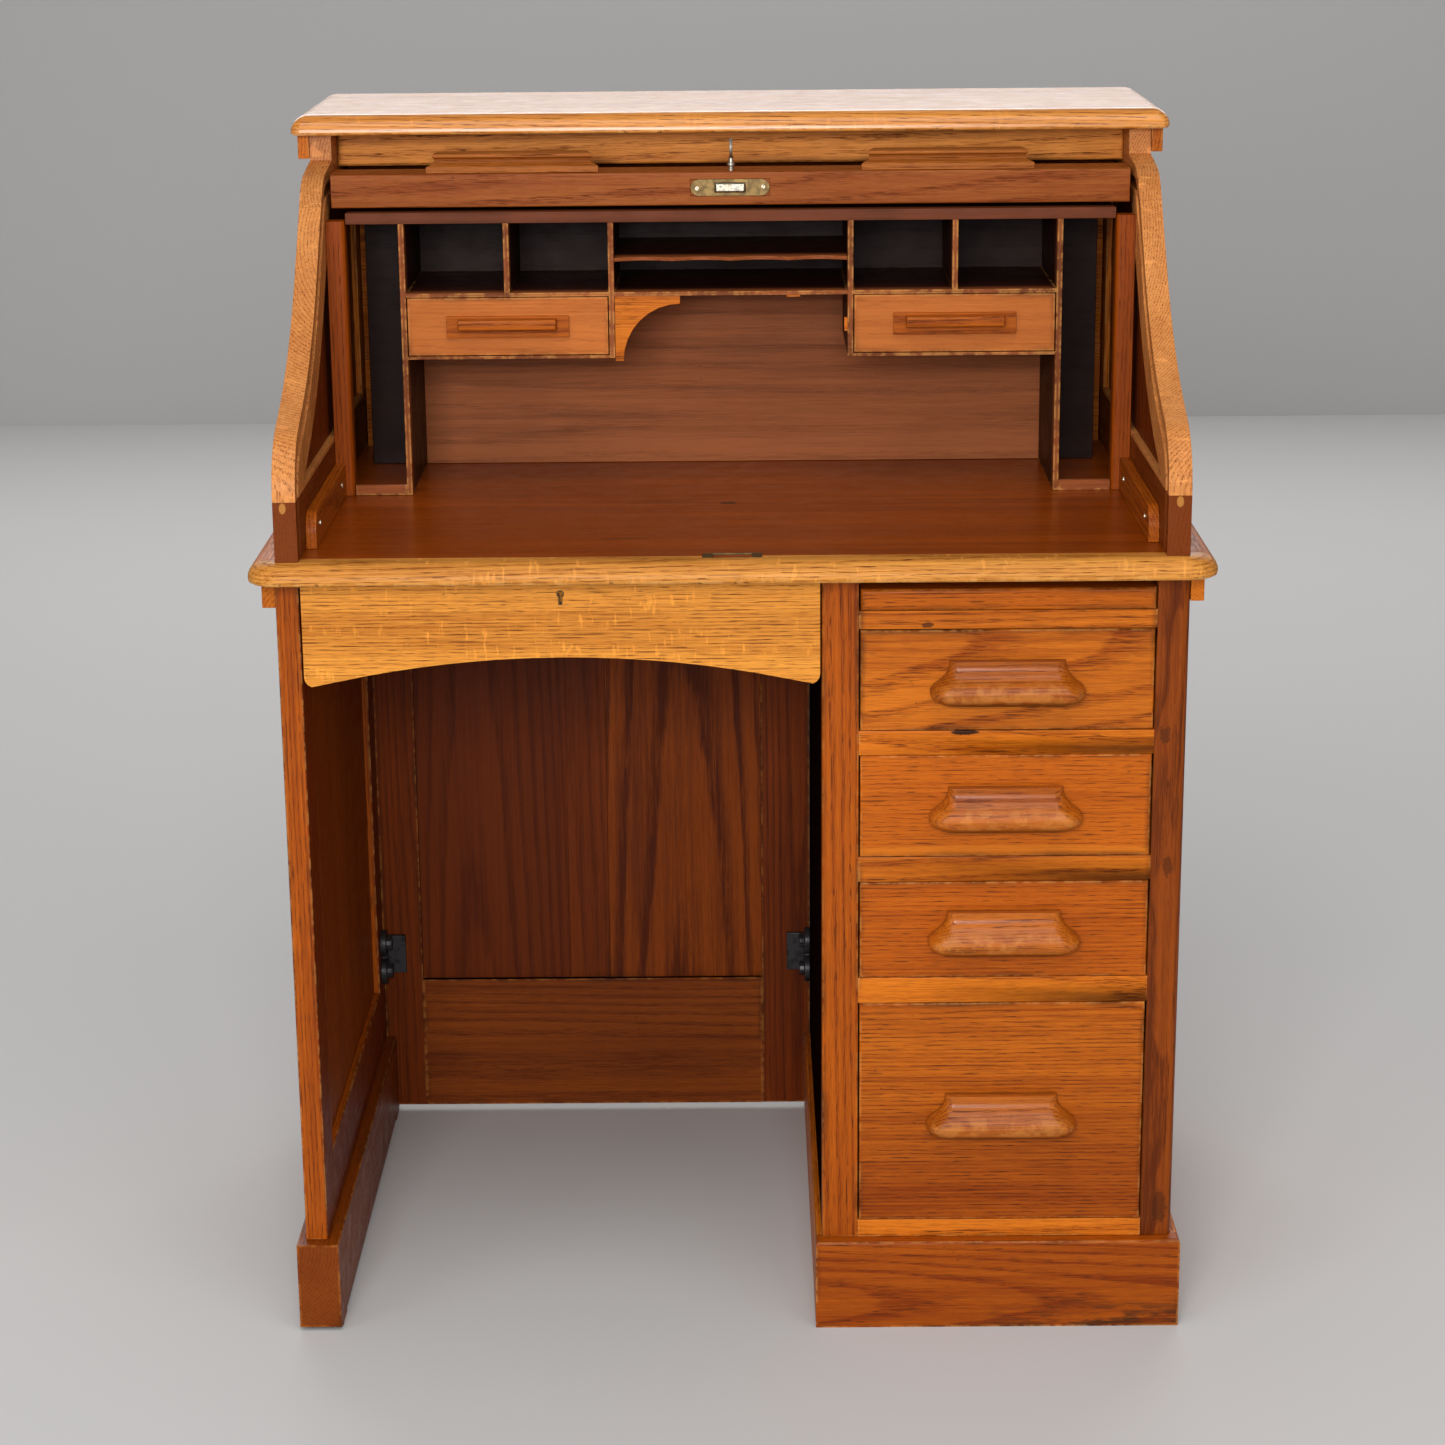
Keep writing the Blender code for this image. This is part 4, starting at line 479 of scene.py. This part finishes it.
def frameOf(node, depth, width, stiles, rails, wood=goldenOak, **special):
    # a rail-and-stile frame standing in the plane of depth and width; returns its boards' planes
    low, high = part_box(node)
    axis = "XY".index(width)
    inner = (low[axis] + stiles[0], high[axis] - stiles[1])
    levels = (low.z + rails[0], high.z - rails[1])

    def planes(first=None, last=None, bottom=None, top=None):
        lows, highs = [None, None, bottom], [None, None, top]
        lows[axis], highs[axis] = first, last
        return lows, highs

    return [
        (node + "_stile_a", *planes(last=inner[0] - saw), dict(special, grain="Z", deep=depth)),
        (node + "_stile_b", *planes(first=inner[1] + saw), dict(special, grain="Z", deep=depth)),
        (node + "_rail_low", *planes(inner[0] + saw, inner[1] - saw, None, levels[0] - saw),
         dict(special, grain=width, deep=depth)),
        (node + "_rail_top", *planes(inner[0] + saw, inner[1] - saw, levels[1] + saw, None),
         dict(special, grain=width, deep=depth)),
    ]


# the writing top: a pale moulded edge all round, and a darker field
stripLine, edgeLine, underTop = -0.2745, 0.404, 0.7600
sawUp("desktop", [
    ("writing_top_front_edge", (None, None, underTop), (None, stripLine - saw, None),
     dict(grain="X", deep="Z", squared=False, pith=(0.02, -0.11), light=(0.74, 0.31, 0.055), dark=(0.42, 0.13, 0.014),
          flecks=0.35, tint=wornNosing(0.7600, 0.0065))),
    ("writing_top_left_edge", (None, stripLine + saw, underTop), (-edgeLine - saw, None, None),
     dict(grain="Y", deep="Z", squared=False)),
    ("writing_top_right_edge", (edgeLine + saw, stripLine + saw, underTop), (None, None, None),
     dict(grain="Y", deep="Z", squared=False)),
    ("writing_top_field", (-edgeLine + saw, stripLine + saw, underTop), (edgeLine - saw, None, None),
     dict(grain="X", deep="Z", wood=fieldOak, squared=False, pith=(0.05, -0.16), coat=0.30,
          tint=marked(((-0.004, -0.044, 0.780), (0.010, 0.006, 0.01), (0.025, 0.006, 0.002), 0.9, 1.2),
                      ((0.06, -0.05, 0.780), (0.014, 0.003, 0.01), (0.30, 0.09, 0.015), 0.5, 1.0),
                      ((-0.10, -0.20, 0.780), (0.030, 0.004, 0.01), (0.06, 0.013, 0.002), 0.5, 1.3)))),
    ("writing_top_cleat_left", None, (-0.40, None, underTop - saw), dict(grain="Y", dirt=0.3)),
    ("writing_top_cleat_right", (0.40, None, None), (None, None, underTop - saw), dict(grain="Y", dirt=0.3)),
])
print("writing top done")

# left end, its skid and the panel in it
stile, rail = 0.058, 0.070
leftLow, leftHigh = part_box("left_end_frame")
runnerFace = -0.4003                       # the drawer's runner stands out from here
leftBoards = frameOf("left_end_frame", "X", "Y", (stile, stile), (rail, rail))
for name, low, high, special in leftBoards:
    high[0] = runnerFace
leftBoards.append(("left_end_runner", (runnerFace + saw, None, None), None, dict(grain="Y")))
# painted shade: the inner face of the left end is darkened
sawUp("left_end_frame", leftBoards, light=(0.50, 0.105, 0.004), dark=(0.23, 0.036, 0.001),
      tint=shadedAlong("X", -0.4030, -0.4008, (0.45, 0.32, 0.25)))
whole("left_end_panel", grain="Z", deep="X", pith=(0.05, -0.03), rings=0.6, squared=False, wood=darkOak,
      light=(0.30, 0.058, 0.002))
sawUp("left_skid", [
    ("skid", (None, None, 0.0041), None,
     dict(grain="Y", deep="X", edge=0.0004, wood=darkOak, light=(0.24, 0.050, 0.003))),
    ("skid_glides", None, (None, None, 0.0040), dict(grain="Y", wood=darkOak, wear=0, edge=0.0003)),
])
print("left end done")

# pedestal: face frame, sides, plinth, back
kneeStile, outerStile = 0.1166, 0.3924
bruise = (0.06, 0.014, 0.002)
frameBoards = [
    ("knee_stile", None, (kneeStile - saw, None, None),
     dict(grain="Z", deep="Y", pith=(0.02, -0.05), wood=darkOak, light=(0.50, 0.105, 0.003),
          dark=(0.24, 0.036, 0.001))),
    ("outer_stile", (outerStile + saw, None, None), None,
     dict(grain="Z", deep="Y", squared=False, pith=(-0.01, -0.03), light=(0.28, 0.055, 0.003),
          dark=(0.11, 0.018, 0.001), pores=1.0, rings=0.6, streaks=0.7, wander=0.020,
          tint=marked(((0.402, -0.249, 0.600), (0.006, 0.01, 0.010), bruise, 0.6, 1.8),
                      ((0.408, -0.249, 0.470), (0.005, 0.01, 0.012), bruise, 0.6, 1.8),
                      ((0.410, -0.249, 0.120), (0.008, 0.01, 0.020), bruise, 0.6, 1.6)))),
]
railLevels = (0.05, 0.20, 0.41, 0.53, 0.65, 0.77)
for number in range(5):
    frameBoards.append(("face_rail_%d" % (number + 1), (kneeStile + saw, None, railLevels[number]),
                        (outerStile - saw, None, railLevels[number + 1]),
                        dict(grain="X", deep="Y", tint=marked(
                            ((0.216, -0.249, 0.6035), (0.016, 0.01, 0.0028), (0.04, 0.010, 0.002), 1.0, 0.9),
                            ((0.18, -0.249, 0.7070), (0.006, 0.01, 0.003), (0.05, 0.012, 0.002), 0.8, 0.9)))))
sawUp("pedestal_front_frame", frameBoards, dirt=0.8)
kneeWall, kneeWallInside = 0.0822, 0.0983    # faces of the side board, runners beyond each
sawUp("pedestal_knee_side", [
    ("knee_side_board", (kneeWall - saw, None, None), (kneeWallInside, None, None),
     dict(grain="Z", deep="X", wood=darkOak)),
    ("knee_side_runners", (kneeWallInside + saw, None, None), None, dict(grain="Y", wood=boxPine, dirt=0.2)),
    ("knee_drawer_runner", None, (kneeWall - 2 * saw, None, None), dict(grain="Y", wood=darkOak)),
])
outLow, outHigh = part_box("pedestal_outer_side")
front, rear, low, high = leftLow.y + stile, leftHigh.y - stile, outLow.z + rail, outHigh.z - rail
skin = 0.4064
sawUp("pedestal_outer_side", [
    ("outer_side_front_stile", (skin, None, None), (None, front - saw, None), dict(grain="Z", deep="X")),
    ("outer_side_back_stile", (skin, rear + saw, None), None, dict(grain="Z", deep="X")),
    ("outer_side_low_rail", (skin, front + saw, None), (None, rear - saw, low - saw), dict(grain="Y", deep="X")),
    ("outer_side_top_rail", (skin, front + saw, high + saw), (None, rear - saw, None), dict(grain="Y", deep="X")),
    ("outer_side_panel", (skin, front + saw, low + saw), (None, rear - saw, high - saw),
     dict(grain="Z", deep="X", rings=0.6, pith=(0.03, -0.04))),
    ("outer_side_runners", None, (skin - 0.0001, None, None), dict(grain="Y", wood=boxPine, dirt=0.2)),
])
plinthLow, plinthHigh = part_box("pedestal_plinth")
wall = 0.020
frontWall = plinthLow.y + wall


def scuffed(tree, place, colour):
    # polish worn off and kicked dark along the bottom right of the plinth
    parts = tree.nodes.new("ShaderNodeSeparateXYZ")
    tree.links.new(place, parts.inputs[0])
    low = between(tree, parts.outputs["Z"], 0.042, 0.004)
    right = between(tree, parts.outputs["X"], 0.20, 0.36)
    torn = between(tree, noise(tree, place, (26, 26, 150), 3.0, 0.6), 0.44, 0.60)
    mask = sums(tree, "MULTIPLY", sums(tree, "MULTIPLY", low, right), torn)
    return blendColour(tree, sums(tree, "MULTIPLY", mask, 0.9), colour, (0.055, 0.019, 0.006))


sawUp("pedestal_plinth", [
    ("plinth_front", None, (None, frontWall - saw, None),
     dict(grain="X", deep="Y", pith=(-0.02, -0.03), rings=0.6, streaks=0.6, light=(0.44, 0.090, 0.003),
          dark=(0.24, 0.034, 0.001), tilt=0.02, tint=scuffed, edge=0.0004)),
    ("plinth_knee_side", (None, frontWall + saw, None), (plinthLow.x + wall - saw, None, None),
     dict(grain="Y", deep="X", edge=0.0004)),
    ("plinth_outer_side", (plinthHigh.x - wall + saw, frontWall + saw, None), None,
     dict(grain="Y", deep="X", edge=0.0004)),
    ("plinth_back", (plinthLow.x + wall + saw, frontWall + saw, None), (plinthHigh.x - wall - saw, None, None),
     dict(grain="X", deep="Y", edge=0.0004)),
])
whole("pedestal_floor", wood=boxPine, grain="X", deep="Z")
whole("pedestal_back", wood=darkOak, grain="Z", deep="Y", squared=False, rings=0.5)
print("pedestal done")

# modesty panel: a dark frame with two wide boards and a narrow one between them
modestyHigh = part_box("modesty_panel")[1]
leftStile, rightStile, lowRail = -0.356, 0.0279, 0.160
topRail = modestyHigh.z - 0.070
firstJoint, secondJoint = -0.1888, -0.1441
kneeWood = dict(wood=shadedOak, deep="Y", rough=0.5, dirt=0.8)
sawUp("modesty_panel", [
    ("modesty_left_stile", None, (leftStile - saw, None, None), dict(kneeWood, grain="Z")),
    ("modesty_right_stile", (rightStile + saw, None, None), None, dict(kneeWood, grain="Z", rings=0.6)),
    ("modesty_low_rail", (leftStile + saw, None, None), (rightStile - saw, None, lowRail - saw),
     dict(kneeWood, grain="X", light=(0.24, 0.050, 0.003), dark=(0.11, 0.018, 0.001))),
    ("modesty_top_rail", (leftStile + saw, None, topRail + saw), (rightStile - saw, None, None),
     dict(kneeWood, grain="X")),
    ("modesty_board_left", (leftStile + saw, None, lowRail + saw), (firstJoint - saw, None, topRail - saw),
     dict(kneeWood, grain="Z", light=(0.14, 0.022, 0.0004), pith=(0.02, -0.05), rings=0.7, tilt=0.010, ringSpacing=0.0055)),
    ("modesty_board_narrow", (firstJoint + saw, None, lowRail + saw), (secondJoint - saw, None, topRail - saw),
     dict(kneeWood, grain="Z", rings=0.35)),
    ("modesty_board_right", (secondJoint + saw, None, lowRail + saw), (rightStile - saw, None, topRail - saw),
     dict(kneeWood, grain="Z", pith=(0.0, -0.035), rings=0.85, tilt=0.016, ringSpacing=0.0055,
          light=(0.26, 0.048, 0.001))),
])
for side in ("left", "right"):
    iron = boardFrom("iron_fastener_" + side, "knock_down_iron_" + side, edge=0.0009, segments=3)
    metalFinish(iron, **metals["iron"])
    settle(iron, "iron_fastener_" + side, True)
print("modesty panel and irons done")

# upper case: S-shaped ends with their panels, lid, back
footTop = 0.8353                           # the bottom rail shows its end below the S-shaped stile
for side in ("left", "right"):
    node = "s_end_" + side
    rearStile = 0.3052 - 0.056
    pale = dict(light=(0.66, 0.26, 0.070), dark=(0.42, 0.13, 0.028), flecks=0.55)
    sawUp(node, [
        (node + "_foot_rail", None, (None, None, footTop - saw),
         dict(grain="Y", deep="X", wood=darkOak, squared=False, light=(0.20, 0.042, 0.003), pores=1.0, edge=0.0005,
              tint=marked(((0.4045 if side == "right" else -0.4060, -0.2895, 0.8300), (0.0036, 0.004, 0.0060),
                           (0.52, 0.22, 0.045), 0.75, 0.3)))),
        (node + "_stile", (None, None, footTop + saw), (None, rearStile - saw, 1.0690),
         dict(pale, grain="Z", deep="X", squared=False, edge=0.0005)),
        (node + "_rear_stile", (None, rearStile + saw, footTop + saw), (None, None, 1.0690),
         dict(grain="Z", deep="X")),
        (node + "_top_rail", (None, None, 1.0691), None,
         dict(pale, grain="Y", deep="X", squared=False, edge=0.0005)),
    ])
    whole("s_panel_" + side, grain="Z", deep="X", wood=shadedOak, squared=False, rings=0.55)
    whole("desk_batten_" + side, grain="Y", wood=darkOak, squared=False, edge=0.0005)
    whole("side_post_" + side, grain="Z", deep="X", wood=darkOak, light=(0.31, 0.058, 0.0015), squared=False,
          edge=0.0005, wear=0.5)
lidUnder = 1.1294
sawUp("top_board", [
    ("lid", (None, None, lidUnder), None,
     dict(grain="X", deep="Z", squared=False, pith=(0.13, -0.05), tilt=0.02, rings=0.5, flecks=0.2,
          light=(0.74, 0.29, 0.050), dark=(0.42, 0.12, 0.012), coat=0.8,
          tint=wornNosing(1.1295, 0.005))),
    ("lid_cleat_left", None, (-0.40, None, lidUnder - saw), dict(grain="Y")),
    ("lid_cleat_right", (0.40, None, None), (None, None, lidUnder - saw), dict(grain="Y")),
])
whole("fixed_rail", grain="X", deep="Y", pith=(0.05, -0.09), dirt=0.8, light=(0.80, 0.30, 0.050),
      dark=(0.46, 0.14, 0.018))
caseStile = 0.050
sawUp("case_back", frameOf("case_back", "Y", "X", (caseStile, caseStile), (caseStile, caseStile), wood=darkOak)
      + [("case_back_panels", (-0.3936 + caseStile + saw, None, 0.7803 + caseStile + saw),
          (0.3936 - caseStile - saw, None, 1.1289 - caseStile - saw),
          dict(grain="Z", deep="Y", wood=darkOak, squared=False, rings=0.5))])
print("upper case done")

# pigeonholes: one board at a time
half, outer, middle, inner, thick = 0.3746, 0.3182, 0.21895, 0.1142, 0.0055
roof, shelfTop, shelfLow, floorTop, floorLow = 1.0487, 0.9807, 0.9767, 0.9187, 0.9157
rackBoards = [("rack_top", (None, None, roof + saw), None,
               dict(grain="X", deep="Z", wood=mahogany, rings=0.1, light=(0.17, 0.042, 0.014),
                    dark=(0.10, 0.024, 0.008)))]
for sign, side in ((-1, "left"), (1, "right")):
    def span(first, last):
        return (first, last) if sign > 0 else (-last, -first)

    for name, first, bottom in (("tall_wall", outer, None), ("low_wall", inner, floorLow),
                                ("divider", middle - thick / 2, shelfTop + saw)):
        x0, x1 = span(first, first + thick)
        rackBoards.append(("rack_%s_%s" % (name, side), (x0, None, bottom), (x1, None, roof - saw),
                           dict(grain="Z", deep="X")))
    x0, x1 = span(inner + thick + saw, outer - saw)
    rackBoards.append(("rack_drawer_floor_" + side, (x0, None, floorLow), (x1, None, floorTop + saw),
                       dict(grain="X", deep="Z")))
    rackBoards.append(("rack_shelf_" + side, (x0, None, shelfLow - saw), (x1, None, shelfTop),
                       dict(grain="X", deep="Z")))
    x0, x1 = span(outer + thick + saw, half)
    rackBoards.append(("rack_threshold_" + side, (x0, None, None), (x1, None, 0.80), dict(grain="X")))
rackBoards.append(("rack_middle_shelf", (-inner + saw, None, shelfLow - saw), (inner - saw, None, shelfTop),
                   dict(grain="X", deep="Z")))
# painted shade: the rack's boards darken further back into the pigeonholes
sawUp("pigeonhole_rack", rackBoards, rackOak, edge=0.0005,
      tint=shadedAlong("Y", 0.0055, 0.030, (0.10, 0.06, 0.05)))
# painted shade: the back darkens above the shelf and beyond the tall walls
whole("pigeonhole_back", wood=mahogany, grain="X", deep="Y", squared=False, pith=(-0.10, -0.05), tilt=0.02,
      rings=0.3, ringSpacing=0.02, wander=0.03,
      tint=shadedAlong("Z", 0.9700, 0.9790, (0.045, 0.025, 0.020), [("X", 0.318, 0.322), ("X", -0.318, -0.322)]))
# painted shade: the shelf darkens further back
whole("scalloped_shelf", wood=rackOak, grain="X", deep="Z", squared=False, edge=0.0004,
      tint=shadedAlong("Y", 0.018, 0.040, (0.12, 0.07, 0.06)))
whole("corner_bracket", wood=goldenOak, grain="X", deep="Y", squared=False, rings=0.3, edge=0.0005)
print("pigeonholes done")

# drawers: front, sides, back and bottom
drawerLooks = [
    dict(pith=(0.045, -0.03), tilt=0.030, rings=0.55, ringSpacing=0.0045),
    dict(pith=(0.3, -0.2), rings=0.3, light=(0.58, 0.130, 0.005),
         tint=marked(((0.25, -0.249, 0.487), (0.2, 0.01, 0.0065), (0.70, 0.20, 0.012), 0.5, 0.1))),
    dict(pith=(0.25, -0.1), rings=0.35, light=(0.50, 0.110, 0.004), dark=(0.26, 0.040, 0.001)),
    # painted shade: the lowest drawer darkens towards its bottom
    dict(pith=(0.12, -0.05), rings=0.5, streaks=0.7, tilt=0.012, light=(0.58, 0.140, 0.007),
         tint=shadedAlong("Z", 0.26, 0.12, (0.72, 0.60, 0.45))),
]
for number, look in enumerate(drawerLooks, 1):
    node = "drawer_%d" % number
    low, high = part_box(node)
    back = low.y + 0.0190
    boxLow, boxHigh = 0.1196, 0.3894
    tail = high.y - 0.010
    sawUp(node, [
        (node + "_front", None, (None, back, None), dict(look, grain="X", deep="Y", edge=0.0005, dirt=0.75)),
        (node + "_left_side", (None, back + saw, None), (boxLow + 0.010, None, None),
         dict(grain="Y", deep="X", wood=boxPine)),
        (node + "_right_side", (boxHigh - 0.010, back + saw, None), None, dict(grain="Y", deep="X", wood=boxPine)),
        (node + "_back", (boxLow + 0.0101, tail, None), (boxHigh - 0.0101, None, None),
         dict(grain="X", deep="Y", wood=boxPine)),
        (node + "_bottom", (boxLow + 0.0101, back + saw, None), (boxHigh - 0.0101, tail - saw, None),
         dict(grain="X", deep="Z", wood=boxPine)),
    ])
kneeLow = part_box("knee_drawer")[0]
back = kneeLow.y + 0.0190
sawUp("knee_drawer", [
    ("knee_drawer_front", None, (None, back, None),
     dict(grain="X", deep="Y", squared=False, pith=(0.10, -0.12), rings=0.35, flecks=0.45,
          light=(0.80, 0.32, 0.045), dark=(0.44, 0.13, 0.010), edge=0.0004)),
    ("knee_drawer_left_side", (None, back + saw, None), (-0.3864, None, None), dict(grain="Y", wood=boxPine)),
    ("knee_drawer_right_side", (0.0681, back + saw, None), None, dict(grain="Y", wood=boxPine)),
    ("knee_drawer_back", (-0.3863, 0.1404, None), (0.0680, None, None), dict(grain="X", wood=boxPine)),
    ("knee_drawer_bottom", (-0.3863, back + saw, None), (0.0680, 0.1403, None), dict(grain="X", wood=boxPine)),
])
whole("pull_out_slide", grain="X", deep="Z", pith=(0.08, -0.1), edge=0.0004, light=(0.55, 0.125, 0.004))
for side in ("left", "right"):
    node = "small_drawer_" + side
    low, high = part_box(node)
    back, tail, boxLow, boxHigh = low.y + 0.0190, high.y - 0.010, low.x + 0.0105, high.x - 0.0105
    sawUp(node, [
        (node + "_front", None, (None, back, None), dict(grain="X", deep="Y", edge=0.0004, wood=smallOak)),
        (node + "_left_side", (None, back + saw, None), (boxLow, None, None), dict(grain="Y", wood=boxPine)),
        (node + "_right_side", (boxHigh, back + saw, None), None, dict(grain="Y", wood=boxPine)),
        (node + "_back", (boxLow + saw, tail, None), (boxHigh - saw, None, None), dict(grain="X", wood=boxPine)),
        (node + "_bottom", (boxLow + saw, back + saw, None), (boxHigh - saw, tail - saw, None),
         dict(grain="X", wood=boxPine)),
    ])
print("drawers done")

# curtain, lock rail and lock
for number in range(1, 11):
    whole("curtain_section_%02d" % number, "curtain_slats_%02d" % number, edge=0.0003, grain="X", deep="Z",
          squared=False)
sawUp("lock_rail", [("lock_rail_timber", None, None, dict(grain="X", deep="Y", edge=0.0004, squared=False,
                                                          wood=darkOak, light=(0.33, 0.090, 0.014)))])
for side in ("left", "right"):
    whole("finger_lift_" + side, "finger_grip_" + side, edge=0.0005, grain="X", deep="Y", squared=False,
          light=(0.46, 0.140, 0.022), dark=(0.24, 0.060, 0.007))
    whole("small_pull_" + side, "small_grip_" + side, edge=0.0004, grain="X", deep="Y", squared=False,
          wood=darkOak)
for number in range(1, 5):
    low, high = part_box("pull_%d" % number)
    whole("pull_%d" % number, "drawer_grip_%d" % number, edge=0.0004, grain="X", deep="Y", squared=False,
          light=(0.50, 0.125, 0.008), dark=(0.22, 0.042, 0.002), rough=0.32, coat=0.32, wander=0.012,
          tint=handled(low, high))
for node, metal in (("lock_plate", "brass"), ("strike_plate", "brass"), ("keyhole_bush", "brass"),
                    ("lock_bolt", "steel"), ("key", "steel")):
    fitting = boardFrom(node, node + "_metal", edge=0.0002, segments=2)
    metalFinish(fitting, **metals[metal])
    settle(fitting, node, True)
print("curtain and lock done")

# small ironmongery that the frame leaves out
def screwHead(radius):
    # a countersunk head with its slot cut across, turned up once and copied to its places
    bpy.ops.object.select_all(action="DESELECT")
    bpy.ops.mesh.primitive_cylinder_add(vertices=28, radius=radius, depth=radius * 0.5)
    head = takeUp(bpy.context.object)
    bpy.ops.object.mode_set(mode="EDIT")
    for offset in (-0.16, 0.16):
        bpy.ops.mesh.select_all(action="SELECT")
        bpy.ops.mesh.bisect(plane_co=(0, radius * offset, 0), plane_no=(0, 1, 0))
    bpy.ops.mesh.select_mode(type="FACE")
    bpy.ops.mesh.select_all(action="DESELECT")
    bpy.ops.object.mode_set(mode="OBJECT")
    for face in head.data.polygons:
        face.select = face.normal.z > 0.9 and abs(face.center.y) < radius * 0.1
    bpy.ops.object.mode_set(mode="EDIT")
    bpy.ops.mesh.extrude_region_move(TRANSFORM_OT_translate={"value": (0, 0, -radius * 0.3)})
    bpy.ops.object.mode_set(mode="OBJECT")
    easeEdges(head, radius * 0.06)
    return head


def driveScrew(head, name, place, facing, node, turn):
    takeUp(head)
    bpy.ops.object.duplicate(linked=False)
    screw = takeUp(bpy.context.object)
    screw.name = name
    screw.rotation_euler = Matrix.Rotation(turn, 3, "Z").to_euler()
    bpy.ops.object.transform_apply(location=False, rotation=True, scale=False)
    screw.rotation_euler = Vector(facing).to_track_quat("Z", "Y").to_euler()
    screw.location = place
    bpy.ops.object.transform_apply(location=True, rotation=True, scale=False)
    smoothFaces(screw)
    metalFinish(screw, **dict(metals["steel"], bright=(0.78, 0.72, 0.58), dull=(0.36, 0.30, 0.20)))
    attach(screw, bodyOf[node])


battenScrew, plateScrew = screwHead(0.0030), screwHead(0.0019)
battenFace, plateFront = 0.3836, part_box("lock_plate")[0].y
plateMiddle = (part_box("lock_plate")[0].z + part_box("lock_plate")[1].z) / 2
for side, sign in (("left", -1), ("right", 1)):
    for number, along in enumerate((-0.205, -0.035)):
        driveScrew(battenScrew, "batten_screw_%s_%d" % (side, number + 1),
                   (sign * (battenFace - 0.0002), along, 0.7985), (-sign, 0, 0), "desk_batten_" + side, 0.5 + number)
    driveScrew(plateScrew, "lock_plate_screw_" + side,
               (sign * 0.0322, plateFront + 0.000375, plateMiddle + sign * 0.0006), (0, -1, 0), "lock_plate",
               0.3 + sign)
for head in (battenScrew, plateScrew):
    bpy.data.objects.remove(head)


def splinter(name, place, size, seed):
    # torn wood left where the second bracket broke away
    takeUp(frame["nodes"]["pigeonhole_rack"])
    bpy.ops.mesh.primitive_cube_add(size=1)
    chip = takeUp(bpy.context.object)
    chip.name = name
    bpy.ops.object.mode_set(mode="EDIT")
    bpy.ops.mesh.select_all(action="SELECT")
    bpy.ops.mesh.subdivide(number_cuts=5, fractal=0.9, fractal_along_normal=0.6, seed=seed)
    bpy.ops.object.mode_set(mode="OBJECT")
    chip.scale, chip.location = size, place
    bpy.ops.object.transform_apply(location=True, rotation=False, scale=True)
    smoothFaces(chip, 20)
    woodFinish(chip, goldenOak, grain="X", deep="Y", squared=False)
    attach(chip, "root")


splinter("bracket_stub_under_shelf", (0.0610, 0.0100, 0.9758), (0.013, 0.005, 0.0026), 3)
splinter("bracket_stub_on_wall", (0.1128, 0.0100, 0.9470), (0.0034, 0.005, 0.0130), 8)
print("screws and splinters done")

# room: pale floor and wall, soft daylight
bpy.ops.mesh.primitive_plane_add(size=14, location=(0, -2.4, 0))
floorSheet = bpy.context.object
floorSheet.name = "pale_floor"
takeUp(floorSheet)
bpy.ops.object.mode_set(mode="EDIT")
bpy.ops.mesh.select_mode(type="EDGE")
bpy.ops.mesh.select_all(action="DESELECT")
bpy.ops.object.mode_set(mode="OBJECT")
for line in floorSheet.data.edges:
    line.select = all(floorSheet.data.vertices[v].co.y > 1 for v in line.vertices)
bpy.ops.object.mode_set(mode="EDIT")
bpy.ops.mesh.extrude_region_move(TRANSFORM_OT_translate={"value": (0, 0, 6)})
bpy.ops.object.mode_set(mode="OBJECT")
material, tree, shader = bareMaterial("pale_floor_paint", 0.75)
shader.inputs["Base Color"].default_value = (0.62, 0.61, 0.60, 1)
floorSheet.data.materials.append(material)


def softLight(name, place, aim, size, power, colour=(1, 1, 1)):
    bpy.ops.object.light_add(type="AREA", location=place)
    light = bpy.context.object
    light.name = name
    light.data.shape = "RECTANGLE"
    light.data.size, light.data.size_y = size
    light.data.energy = power
    light.data.color = colour
    light.rotation_euler = (Vector(aim) - Vector(place)).to_track_quat("-Z", "Y").to_euler()


softLight("front_room", (-0.3, -3.6, 1.75), (0, 0, 1.15), (1.5, 0.9), 86)
softLight("ceiling", (0, -1.6, 3.4), (0, -0.1, 0.9), (2.4, 1.6), 34)
softLight("window_left", (-2.9, -2.6, 2.0), (0, 0, 0.9), (1.6, 1.6), 16)
softLight("window_right", (2.9, -2.6, 2.0), (0, 0, 0.9), (1.6, 1.6), 10)
softLight("rear_window", (0, 4.2, 2.7), (0, 0, 1.1), (6.0, 1.6), 110)
world = bpy.data.worlds.new("room")
bpy.context.scene.world = world
world.use_nodes = True
world.node_tree.nodes["Background"].inputs["Color"].default_value = (0.95, 0.97, 1.0, 1)
world.node_tree.nodes["Background"].inputs["Strength"].default_value = 0.24

pitch, turn, roll = 0.2776, -0.0068, -0.0094
ahead = Vector((math.sin(turn) * math.cos(pitch), math.cos(turn) * math.cos(pitch), -math.sin(pitch)))
right = Vector((math.cos(turn), -math.sin(turn), 0))
above = right.cross(ahead)
tipped = right * math.cos(roll) + above * math.sin(roll)
above = above * math.cos(roll) - right * math.sin(roll)
bpy.ops.object.camera_add()
camera = bpy.context.object
camera.name = "camera"
camera.data.lens = 79.85
camera.data.sensor_width = 36
camera.matrix_world = Matrix((
    (tipped.x, above.x, -ahead.x, 0.0091), (tipped.y, above.y, -ahead.y, -3.1241),
    (tipped.z, above.z, -ahead.z, 1.434), (0, 0, 0, 1)))
bpy.context.scene.camera = camera
print("room, light and camera done")
